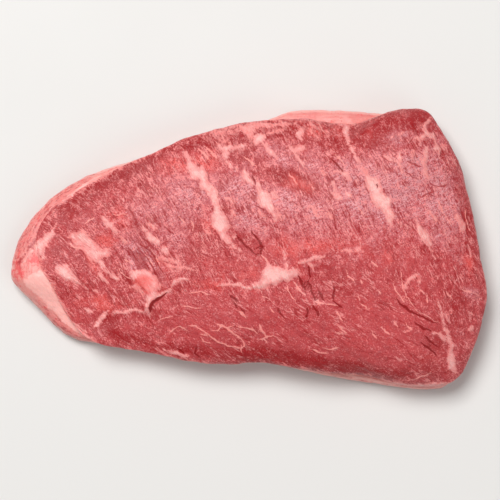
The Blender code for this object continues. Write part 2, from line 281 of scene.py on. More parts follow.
# Lean that lies open in the fat of the point.
MEAT_AREAS = {
    "wedge of lean in the point": (
        (-120.2, 29), (-124.7, 26.5), (-127.9, 23.3), (-130.5, 19.5), (-132.4, 15.1), (-135, 11.3),
        (-136.9, 8.1), (-138.9, 5.6), (-140.8, 2.4), (-142.8, -0.8), (-144.7, -4.6), (-147.3, -8.4),
        (-146, -10.3), (-143.4, -6.5), (-140.8, -2.7), (-138.9, -0.2), (-136.3, 2.4), (-134.4, 5.6),
        (-131.1, 8.7), (-127.9, 11.3), (-125.3, 13.8), (-124.1, 17.6), (-122.1, 21.4), (-119.6, 25.2),
    ),
}

# Strokes: a name and its stations, each x, y and the full width there.
WHITE_FAT = {
    "white edge of the point": (
        (-127, -21, 1.2), (-124, -27.5, 2.2), (-121.6, -33, 2.2), (-119.4, -37.5, 1.2),
    ),
    "vein's strip to the edge": (
        (-138.2, -0.2, 1.3), (-140.2, -4, 1.3), (-142.8, -7.2, 1.3), (-144.1, -10.3, 0.9),
    ),
    "patch's tail": (
        (-95.8, -5.9, 2.5), (-93.9, -7.8, 2.5), (-92, -10.3, 2.2), (-90.1, -12.8, 2.2), (-87.5, -15.3, 1.9),
        (-85, -17.2, 1.9), (-82.4, -19.1, 1.3),
    ),
    "right streak's head": ((-67.8, 17.5, 0.9), (-66.5, 14.3, 1.9), (-64.6, 11.8, 2.5)),
    "long streak's lower tail": ((-5.9, 0.5, 1.9), (-4.7, -1.4, 0.9)),
    "third streak's tail": ((88.9, 17.3, 1.9), (90.1, 14.8, 0.9)),
    "tab's tail": (
        (8.5, 67.5, 1.9), (11, 65.6, 2.5), (12.9, 62.5, 2.5), (15.4, 60, 2.2), (17.9, 58.1, 0.6),
    ),
    "island's lower rim": ((15.4, -21.4, 1.2), (19.1, -19.6, 1), (22.2, -19.2, 1.4), (26.6, -18.6, 1.4)),
    "island's spike": ((21.3, -0.2, 0.9), (22.9, -3.9, 1.3), (23.8, -7.7, 1.3), (23.8, -12.1, 1.9)),
    "white bar on the step": (
        (-19.8, -23.4, 0.9), (-16.6, -22.1, 1.6), (-12.8, -22.4, 1.9), (-9.1, -21.8, 1.6),
        (-4.7, -22.1, 1.3), (-2.2, -23.7, 0.9), (1.6, -24, 1.3),
    ),
    "seam right of the island": (
        (30.4, -8.3, 0.9), (34.1, -7.7, 2.2), (37.2, -7, 1.6), (40.3, -5.8, 1.9), (44.7, -4.8, 2.6),
        (47.8, -3.9, 0.6),
    ),
    "branched streak's trunk": (
        (113.9, 81.6, 2.5), (112, 80.3, 2.5), (110.8, 78.4, 2.2), (111.1, 75.9, 2.2), (112, 73.5, 3.1),
    ),
    "branched streak's right arm": (
        (115.8, 72.2, 2.5), (117, 69.7, 2.2), (117.4, 66.6, 1.9), (118.9, 64.1, 3.1), (120.5, 62.3, 1.9),
        (120.8, 59.2, 0.9),
    ),
    "branched streak's left arm": ((105.7, 69.7, 1.6), (108.2, 69.7, 1.9), (110.8, 72.2, 2.2)),
    "streak below the knot": (
        (111.4, 64.1, 1.6), (111.4, 60.4, 2.2), (110.8, 57.2, 2.8), (110.1, 54.1, 2.8), (110.8, 51, 2.5),
        (111.4, 47.9, 3.1), (113, 44.8, 1.9),
    ),
    "streak under the lilac gloss": (
        (85.2, 58.5, 0.9), (88.9, 57.2, 1.9), (93.2, 54.7, 2.2), (95.7, 52.2, 1.3),
    ),
    "small streak above it": (
        (95.1, 60.3, 0.9), (95.1, 57.2, 2.5), (94.5, 54.1, 2.5), (95.1, 51, 1.3), (96.4, 47.9, 0.9),
    ),
    "white streak right of the middle": (
        (104.5, 19.2, 0.9), (106.4, 15.4, 2.5), (107.6, 11.7, 3.8), (109.5, 7.3, 2.5), (112, 3, 1.6),
        (114.5, -1.4, 0.9), (117, -5.2, 0.6),
    ),
    "strand to the lower corner": (
        (118.3, -31.4, 0.9), (120.2, -36.4, 1.6), (121.5, -41.4, 1.9), (122.1, -45.7, 1.9),
        (124, -50.7, 2.5), (126.5, -55.8, 2.5), (127.8, -60.1, 2.2), (127.2, -63.9, 3.1), (127.8, -68.9, 5),
        (129.1, -73.9, 4.4), (131, -77.7, 1.3),
    ),
    "strand's lobe": ((115.2, -52, 0.9), (119.6, -53.2, 2.2), (123.4, -56.4, 1.9)),
    "pale patch right of the second hollow": ((51.6, 35.4, 1.6), (54.7, 34.2, 3.8), (57.2, 31.7, 2.5)),
    "spot over that patch": ((52.8, 41.7, 1.9), (54, 37.9, 2.5)),
    "spot beside that patch": ((60.9, 35.4, 1.3), (63.4, 34.2, 3.1), (64.6, 32.3, 1.3)),
    "pale patch in the skin": ((55.3, 49.8, 1.3), (59, 47.9, 2.8), (61.5, 46.7, 2.5), (63.4, 44.2, 1.9)),
    "streak under the fat band": (
        (62.1, 78.5, 3.1), (62.1, 73.5, 2.8), (62.5, 68.5, 2.5), (63.4, 65.4, 2.2), (65.9, 61.6, 2.2),
        (67.1, 57.9, 2.2), (69, 55.4, 3.1),
    ),
    "flap's lower edge": (
        (-86.3, -39.3, 0.9), (-82.4, -40, 1.3), (-78.6, -39.9, 1.3), (-74.8, -38, 1.3), (-70.3, -38, 1.3),
        (-66.5, -39, 1.3), (-62.1, -39.6, 1.3),
    ),
    "flap's right arm": (
        (-57, -29.8, 2.2), (-53.8, -28.2, 2.2), (-50.7, -26, 1.9), (-48.8, -24.1, 1.6), (-47.5, -21.6, 1.6),
        (-45.6, -19.7, 1.9), (-41.8, -18.4, 1.9), (-38, -18.7, 1.3),
    ),
    "crisp stroke at the lower edge": ((-104.2, -37.5, 0.9), (-101.6, -38.8, 2.2), (-99, -40, 0.9)),
    "spot at the lower left": ((-98.4, -25.8, 1.6), (-97.1, -26.4, 1.6)),
    "pale fibres at the lower left": (
        (-89.4, -38.7, 1.6), (-91.4, -41.9, 3.1), (-94.6, -45.1, 3.8), (-96.5, -48.2, 3.1),
        (-97.8, -49.5, 0.9),
    ),
    "pale bar's thin line": (
        (-14.1, 55.7, 1.3), (-12.2, 54.4, 1.3), (-10.3, 52.2, 1.3), (-8.5, 51.3, 0.9), (-6.6, 49.4, 0.6),
    ),
    "spot on the long streak": ((-9.7, 9.9, 1.9), (-8.5, 8, 2.5)),
    "white spot at the lower edge": ((139.3, -50.9, 1.9), (141.8, -49, 1.9)),
    "strip at the lower edge": (
        (60.3, -79.5, 1.3), (69.6, -81.9, 1.9), (82, -84.1, 2.2), (94.5, -85.6, 2.8), (107, -86.5, 3.1),
        (119.6, -86, 3.1), (127.2, -83.9, 1.3),
    ),
    "light line beside the lean": (
        (-122.1, -30.6, 0.9), (-119.6, -35.7, 1.3), (-115.7, -42, 1.6), (-109.9, -47.7, 1.3),
        (-102.9, -52.7, 0.9),
    ),
    "inner strip of the upper band": (
        (-124.7, 24, 0.9), (-115.7, 33.4, 1.6), (-104.2, 41.6, 1.6), (-93.9, 47.9, 0.9),
    ),
    "strip under the lower left edge": ((-53.2, -63.2, 0.9), (-46.3, -65, 2.2), (-38.7, -67.5, 1.3)),
}

PINK_FAT = {
    "upper streak's tail": ((-81.2, 8.1, 1.9), (-78.6, 5.5, 1.9), (-75.4, 4.3, 0.9)),
    "right streak's tail": (
        (-55.7, -5.2, 1.9), (-51.9, -6.5, 2.5), (-48.8, -7.1, 1.9), (-45, -8.3, 2.5), (-41.2, -11.5, 1.3),
    ),
    "tail's end": ((-39.9, -11.5, 1.6), (-36.8, -12.4, 1.9)),
    "strands by the tail": (
        (-53.8, -7.7, 0.9), (-50.7, -10.2, 1.6), (-46.9, -10.9, 2.5), (-43.1, -11.5, 1.3),
    ),
    "strand at the left": ((-64, 17.5, 0.9), (-62.1, 16.2, 1.9), (-60.2, 14.3, 2.2), (-59.6, 12.4, 0.9)),
    "strand in the middle": ((-29.8, 4.2, 1.3), (-28.6, 2.4, 1.9), (-27.3, 0.5, 1.3)),
    "lobes beside the long streak": ((-27.3, 11.8, 0.9), (-25.4, 10.5, 2.8), (-22.3, 9.3, 1.9)),
    "blobs right of the long streak": ((-11, 24.3, 1.9), (-9.1, 22.4, 2.8), (-7.8, 20.5, 0.9)),
    "strand beside the blobs": (
        (-14.1, 32.5, 0.9), (-11.6, 31.2, 1.9), (-9.7, 28.7, 1.9), (-8.5, 26.2, 0.6),
    ),
    "strand at the rim": (
        (-22.9, 74.6, 1.3), (-21.7, 75.2, 1.9), (-19.8, 74.6, 1.3), (-17.2, 72.7, 1.9), (-15.4, 70.1, 1.3),
    ),
    "pale strand above the long streak": ((-42.5, 64.7, 0.9), (-39.3, 61.5, 1.9), (-37.4, 57.7, 2.5)),
    "strand by the second streak": ((17.2, 25.5, 1.3), (19.1, 22.4, 1.9), (20.4, 18.6, 1.3)),
    "strand left of it, low": ((6.6, 24.3, 0.9), (9.1, 22.1, 1.9), (11, 20.5, 0.9)),
    "short strand over the hollow": ((38.5, 41.7, 0.9), (40.3, 38.6, 2.2)),
    "fork right of the island": ((37.2, -7.7, 1.3), (39.7, -10.2, 1.9), (41.6, -12, 0.9)),
    "bright head of the third streak": ((71.5, 51.6, 1.9), (73.3, 49.1, 2.5), (74.6, 46.6, 1.9)),
    "strand in the skin": ((39.1, 26.7, 1.9), (41, 24.8, 2.2), (42.8, 21.7, 1.9), (44.7, 18.6, 0.9)),
    "spot in the skin": ((50.3, 22.3, 1.3), (52.8, 19.8, 2.2)),
    "strands in the upper skin": ((45.3, 51.1, 0.9), (47.8, 47.3, 1.9)),
    "strand in the right skin": ((102.6, 61, 1.9), (102.9, 57.2, 2.2), (103.2, 54.7, 0.9)),
    "specks on the lilac gloss": ((89.2, 69.4, 1), (90.8, 70.9, 1.6), (92.3, 72.2, 0.8)),
    "second speck on the gloss": ((93.2, 67.5, 0.8), (95.1, 68.7, 1.3)),
    "third speck on the gloss": ((95.7, 72.8, 0.8), (97.6, 74, 1.2)),
    "red strands, second": ((47.8, 75.4, 0.9), (49.7, 72.9, 1.9), (50.3, 71.1, 0.9)),
    "red strands, third": ((38.5, 76.1, 1.9), (41, 73.6, 1.9), (44.1, 71.1, 1.9)),
    "red strands, fourth": ((39.1, 80.5, 1.9), (41, 78, 1.9)),
    "red strands, fifth": ((59.7, 79.1, 1.9), (60.3, 76, 1.6)),
    "seam further right": (
        (57.2, -1.4, 0.9), (60.3, 0.2, 1.6), (64.6, -0.2, 1.3), (67.1, -1.4, 1.9), (69, 0.5, 1.3),
        (70.2, 2.3, 0.6),
    ),
    "strand at the right": ((113.9, 23.6, 1.9), (115.8, 20.4, 2.2), (119.6, 16.7, 1.3)),
    "pale field at the edge": ((131, 21.1, 1.3), (132.9, 18.6, 3.1), (134.8, 14.2, 5), (133.5, 11.1, 1.3)),
    "arc above the furrow": (
        (97.2, -26.7, 0.6), (97.2, -22.9, 1), (99.1, -19.7, 1.3), (102.2, -17.2, 1.6), (105.4, -16.2, 2),
        (107.3, -17.8, 1.4), (107.3, -20.3, 0.6),
    ),
    "short pale strand at the right": ((96.4, -51.9, 0.8), (99.5, -50.7, 1.6), (102, -49.4, 0.8)),
    "rim strand, left of the tab": ((-6.6, 78.9, 0.9), (-2.2, 77, 2.5), (1, 73.8, 2.8), (1.6, 68.8, 1.3)),
    "rim strand under the fat": ((8.5, 77.5, 0.9), (14.7, 78.7, 1.6), (22.2, 79.3, 1.9), (29.7, 79.9, 0.9)),
    "rim strand below it": ((11, 73.1, 0.8), (17.2, 75, 1.3), (23.5, 76.2, 0.8)),
    "rim strand at the left": ((-21.7, 74, 0.6), (-16.6, 74.6, 1.6), (-10.3, 75.1, 0.9)),
    "second rim strand at the left": ((-18.5, 68.9, 0.6), (-13.5, 68.3, 1.4), (-9.1, 65.1, 0.8)),
}

# Thin veins, twigs and the light folds of the skin.
VEINS = {
    "long vein": ((-49.4, -52.4, 0.5), (-46.9, -49.9, 0.7), (-43.1, -48.6, 0.9), (-38.7, -50.5, 0.7)),
    "long vein, second part": (
        (-36.8, -48, 0.5), (-33, -47.9, 0.7), (-29.8, -50.4, 0.7), (-25.4, -53.6, 0.9), (-21, -56.1, 1.2),
        (-18.5, -58.6, 1.2), (-14.1, -59.8, 0.9), (-9.7, -61, 0.9), (-5.3, -61.6, 0.9), (-4.1, -64.1, 0.5),
    ),
    "twigs of the long vein": ((-29.8, -55.5, 0.7), (-27.9, -58, 0.9), (-24.2, -59.2, 0.7)),
    "upper twig of the long vein": ((-29.8, -53.3, 0.7), (-26.7, -53.9, 0.7)),
    "vein over it": (
        (-19.8, -46.6, 0.7), (-16.6, -47.9, 0.9), (-13.5, -49.4, 0.9), (-10.3, -52.2, 1.2),
        (-7.2, -54.1, 0.9), (-4.7, -56, 0.7), (-3.4, -58.5, 0.9), (-2.8, -61, 0.7), (-4.7, -62.3, 0.5),
    ),
    "its left twig": ((-22.3, -51, 0.5), (-19.1, -50.4, 0.7), (-16.6, -47.9, 0.7)),
    "its right twig": ((-14.1, -49.1, 0.7), (-9.7, -47.8, 0.7)),
    "vein in the middle": ((-5.9, -48.5, 0.5), (-1.5, -49.4, 0.9), (2.2, -50, 1.2), (5.3, -52.2, 0.5)),
    "star of veins": (
        (7.2, -47.2, 0.7), (7.9, -49.7, 1.2), (9.7, -52.2, 1.2), (11.6, -54.7, 1.2), (9.7, -55.9, 0.7),
        (7.2, -56.6, 0.5),
    ),
    "foot of the star": ((9.7, -55.9, 0.7), (11.6, -57.8, 0.5)),
    "arm of the star": ((11.6, -54.7, 0.9), (14.7, -54, 0.5)),
    "vein dots": ((-5.3, -39, 0.7), (-3.4, -40.6, 1.2), (-1.5, -42.2, 0.7)),
    "second vein dots": ((14.1, -36.5, 0.7), (15.4, -39, 0.9)),
    "line left of the cracks": ((-40.6, -35.4, 0.5), (-34.9, -36.6, 0.7), (-29.8, -36.6, 0.5)),
    "low vein": ((40.3, -62.7, 0.5), (44.1, -64.5, 0.9), (49.1, -65.1, 0.7)),
    "low vein's fork": ((47.2, -61.4, 0.7), (50.9, -62.6, 0.9), (55.9, -62, 0.5)),
    "vein spot": ((55.9, -47.6, 0.7), (59, -49.5, 1.2)),
    "second vein spot": ((55.9, -52, 1.4), (58.4, -52, 0.9)),
    "slanting vein": ((55.3, -39.5, 0.7), (57.2, -42, 0.9), (59, -44.5, 0.5)),
    "vein below it": ((58.4, -49.5, 0.5), (61.5, -52, 0.9)),
    "hooked vein": ((69.6, -33.2, 0.7), (72.7, -35.7, 1.2), (74.6, -37.6, 0.9), (75.8, -36.3, 0.5)),
    "vein to the right": ((77.1, -51.3, 0.7), (79.6, -54.4, 0.9)),
    "short vein": ((83.3, -48.8, 0.7), (85.8, -51.3, 1.2), (88.3, -53.2, 0.5)),
    "star right of the cracks": ((41.6, -32.7, 0.7), (44.1, -32.7, 1.4), (46.6, -33.3, 0.7)),
    "star's up and down": ((44.1, -30.2, 0.5), (44.1, -35.2, 0.5)),
    "line to the star": ((47.2, -33.3, 0.7), (51.6, -34.5, 0.9), (55.9, -35.1, 0.7)),
    "short vein in the middle": ((62.1, -16.4, 0.7), (65.3, -18.9, 0.7)),
    "dots in the right field": ((68.4, -30.1, 0.9), (69, -30.7, 0.9)),
    "second dot in the right field": ((70.2, -19.5, 0.9), (70.9, -20.1, 0.9)),
    "third dot in the right field": ((81.4, -26.4, 0.9), (82, -27, 0.9)),
    "fourth dot in the right field": ((60.9, -13.3, 1.2), (61.5, -14.5, 0.9)),
    "dot by the furrow": ((98.9, -46.3, 0.9), (101.4, -49.4, 0.9)),
    "second dot by the furrow": ((108.2, -25.7, 0.9), (109.5, -27, 0.9)),
    "third dot by the furrow": ((111.4, -29.5, 0.9), (112, -32.6, 0.9)),
    "dot at the edge": ((125.3, -27.6, 1.2), (126.5, -28.9, 0.9)),
    "dot under the furrow": ((92, -46.3, 1.2), (93.2, -47.5, 0.9)),
    "vein under the step": ((-36.8, -27.2, 0.5), (-30.5, -26.6, 0.7), (-24.8, -27.8, 0.5)),
    "twig under the island": ((8.5, -29, 0.5), (12.2, -30.9, 0.7), (15.4, -33.3, 0.5)),
    "second twig under the island": ((24.1, -23.3, 0.5), (26, -27.7, 0.7), (29.1, -31.4, 0.5)),
    "vein at the left edge": ((-55.7, -44.3, 0.5), (-51.9, -43, 0.7), (-48.2, -41.7, 0.5)),
    "patch's upper strand": ((-114.4, 4.3, 0.7), (-111.2, 2.4, 1.2), (-108, 1.1, 1.2), (-105.4, 0.5, 0.7)),
    "light fold of the trough": (
        (-62.4, 1.7, 0.5), (-60.5, -0.5, 0.8), (-58.6, -3.6, 0.8), (-57, -7.1, 0.8), (-55.7, -10.2, 0.4),
    ),
    "second light fold": ((-64.6, -3, 0.4), (-62.4, -5.5, 0.6), (-60.5, -8.7, 0.6), (-58.9, -11.5, 0.4)),
    "third light fold": ((-78, -6.5, 0.5), (-75.4, -8.1, 1.1), (-73.2, -9.3, 0.5)),
    "fourth light fold": (
        (-81.8, -12.8, 0.5), (-79.9, -14.7, 0.8), (-77.3, -16.9, 0.8), (-74.8, -18.5, 0.4),
    ),
    "short strand at the upper left": ((-43.7, 20.6, 0.7), (-41.8, 19, 1.2), (-39.9, 17.5, 0.7)),
    "strand over the crack": ((-36.1, 18.7, 0.7), (-34.3, 14.9, 0.9), (-34.9, 11.8, 0.9)),
    "strand over the blotch": (
        (-26.7, 64.6, 0.7), (-24.2, 62, 1.2), (-22.3, 60.1, 1.2), (-20.4, 58.2, 0.7),
    ),
    "strand left of it": ((-31.1, 63.3, 0.7), (-27.3, 60.2, 1.2), (-25.4, 57.6, 0.9)),
    "fork of the left third": (
        (-97.8, 19.8, 0.5), (-99.7, 19.1, 0.9), (-101.6, 18.2, 0.9), (-103.5, 16.9, 0.5),
    ),
    "lines in the bright field": (
        (-85.6, 22.6, 0.5), (-83.1, 21.3, 0.7), (-79.9, 22.6, 0.5), (-76.7, 21.9, 0.7),
    ),
    "skin strand": ((-2.2, 58.2, 0.7), (0.3, 56.3, 1.2), (3.5, 53.7, 0.7)),
    "strand in the red hollow": ((26, 46.8, 0.7), (28.5, 43.9, 0.9), (30.4, 41.8, 0.7)),
    "strand over the island": ((8.5, -3.9, 0.7), (11, -5.5, 1.2), (12.2, -8.3, 1.2)),
    "right strand of the island": (
        (27.9, -20.2, 0.7), (30.4, -23.3, 0.9), (32.9, -25.8, 0.9), (35.4, -28.3, 0.7),
    ),
    "strand right of the pale patch": ((67.1, 28.6, 0.7), (69.6, 25.4, 1.2), (71.5, 22.3, 0.5)),
    "strand in the upper skin": ((54.7, 59.5, 0.9), (57.2, 56.4, 0.9), (59.7, 53.5, 0.7)),
    "red strands, first": ((44.7, 79.8, 0.9), (46, 77.3, 1.2), (47.2, 75.4, 0.5)),
    "spot right of the seam": ((77.1, -7.6, 0.7), (79.6, -10.1, 0.9)),
    "thin strand at the right": ((119.6, 29.2, 0.7), (121.5, 25.4, 0.9), (123.4, 22.3, 0.5)),
    "second thin strand at the right": ((123.4, 22.3, 0.5), (125.3, 19.2, 0.9), (127.2, 16.1, 0.5)),
    "light strand at the edge": ((136.7, 24.2, 0.7), (138, 18.6, 0.9), (139.9, 12.4, 0.7)),
    "loop right of the middle": (
        (90.2, -21, 0.5), (92.1, -25.4, 0.7), (94.6, -29.2, 0.7), (97.8, -32.3, 0.5),
    ),
    "strand above the furrow": (
        (94.6, -14, 0.4), (95.9, -19.1, 0.5), (96.8, -24.1, 0.6), (98.8, -29.2, 0.6), (101.6, -33.6, 0.6),
        (105.4, -37.7, 0.4),
    ),
    "filaments at the edge": ((135.4, -25.2, 0.5), (139.9, -26.4, 0.7), (145.1, -28.4, 0.5)),
    "fringe at the lower edge": (
        (100.7, -83.1, 0.5), (105.1, -81.2, 0.8), (108.9, -80, 0.5), (113.3, -78.8, 0.6),
        (115.2, -76.9, 0.4),
    ),
    "its lower end": ((107, -39.5, 0.4), (113.3, -42, 0.5), (118.3, -45.1, 0.4)),
}

# Cracks in the meat, and the furrows by the lower corner. Their dark red is partly painted shade, as the
# carved cracks are shallow.
CRACKS = {
    "crack over the island": (
        (2.2, 11.1, 0.5), (4.1, 8.6, 0.9), (5.3, 6.7, 1), (7.2, 4.2, 1.4), (8.3, 1.9, 1.8), (7.9, 0.5, 1.2),
        (7.9, -2.7, 0.8),
    ),
    "twig of that crack": ((7.2, 2.3, 0.9), (4.7, 0.5, 0.6)),
    "crack beside the long streak": ((-7.2, 8.6, 0.9), (-4.7, 5.5, 1.3), (-2.2, 2.6, 0.9), (-0.9, 2, 1.2)),
    "its fine end": ((-0.9, 2.3, 0.6), (1, -0.2, 0.9), (3.5, -2, 0.6), (6, -3.3, 0.6)),
    "crack right of the island": ((31.6, -17, 0.8), (32.9, -19.5, 1.4), (34.1, -22, 1.3), (35.6, -25, 0.5)),
    "second crack": (
        (37.2, -20.2, 0.9), (38.5, -22.7, 1.5), (39.7, -25.5, 1), (40.4, -28, 0.8), (41.6, -30.8, 1.3),
    ),
    "third crack": ((44.1, -26.2, 0.7), (45.6, -28.6, 1.2), (47.1, -30.8, 0.7)),
    "fourth crack": ((36.6, -36.8, 0.9), (36.6, -41.8, 1.2)),
    "fifth crack": ((41, -35.8, 0.8), (43.5, -40.2, 1.2)),
    "sixth crack": ((19.1, -37.7, 1.1), (21.6, -41.5, 1)),
    "seventh crack": ((54, -23.9, 0.9), (53.4, -27.6, 1.3), (52.8, -31.4, 0.6)),
    "eighth crack": ((53.4, -32.6, 0.6), (57.8, -35.1, 1.3)),
    "crack at the seam": ((37.8, -11.4, 0.7), (38.5, -16.4, 1)),
    "bottom crack": ((-33, -63, 0.9), (-33.6, -65.6, 0.9), (-31.1, -68.1, 0.6)),
    "second bottom crack": ((-44.4, -62.5, 0.9), (-41.2, -65, 0.9)),
    "dashes in the middle": ((-11, -29, 1.3), (-7.8, -31.5, 1.3)),
    "second dash in the middle": ((-8.5, -34, 0.9), (-7.2, -35.9, 0.9)),
    "third dash in the middle": ((-4.1, -37.8, 0.9), (-2.8, -39, 0.9)),
    # Painted shadow along the flap's lower right edge.
    "painted shadow under the flap": (
        (-62.1, -39.2, 0.6), (-61.8, -36.7, 1.3), (-60.2, -33.6, 1.6), (-58.3, -31.7, 1.6),
        (-55.1, -29.8, 0.9), (-51.9, -27.9, 0.6),
    ),
    "notch by the second streak": ((2.8, 46.2, 0.6), (3.8, 43.7, 0.9), (4.4, 41.8, 0.6)),
    "groove in the skin": ((52.8, 56.1, 0.5), (54.7, 53.9, 0.9), (56.5, 51.7, 0.7), (59, 49.2, 0.4)),
    "dark spot in the third streak": ((80.5, 40.1, 0.5), (80.5, 39.3, 0.4)),
    "furrow to the lower corner": (
        (92, -30.7, 0.4), (94.5, -33.2, 0.8), (97.6, -35.7, 1.2), (102, -38.8, 1.1), (107, -41.3, 0.7),
        (112, -43.8, 0.9), (117.7, -45.7, 0.4),
    ),
    "second furrow": ((104.5, -46.3, 0.5), (109.5, -48.8, 1.1), (113.9, -50.7, 0.6)),
    "third furrow": ((110.8, -54.4, 0.5), (114.5, -57.6, 1), (118.3, -60.7, 0.6)),
    "fourth furrow": ((108.2, -58.2, 0.5), (113.3, -61.9, 1), (118.3, -66.3, 0.6)),
}
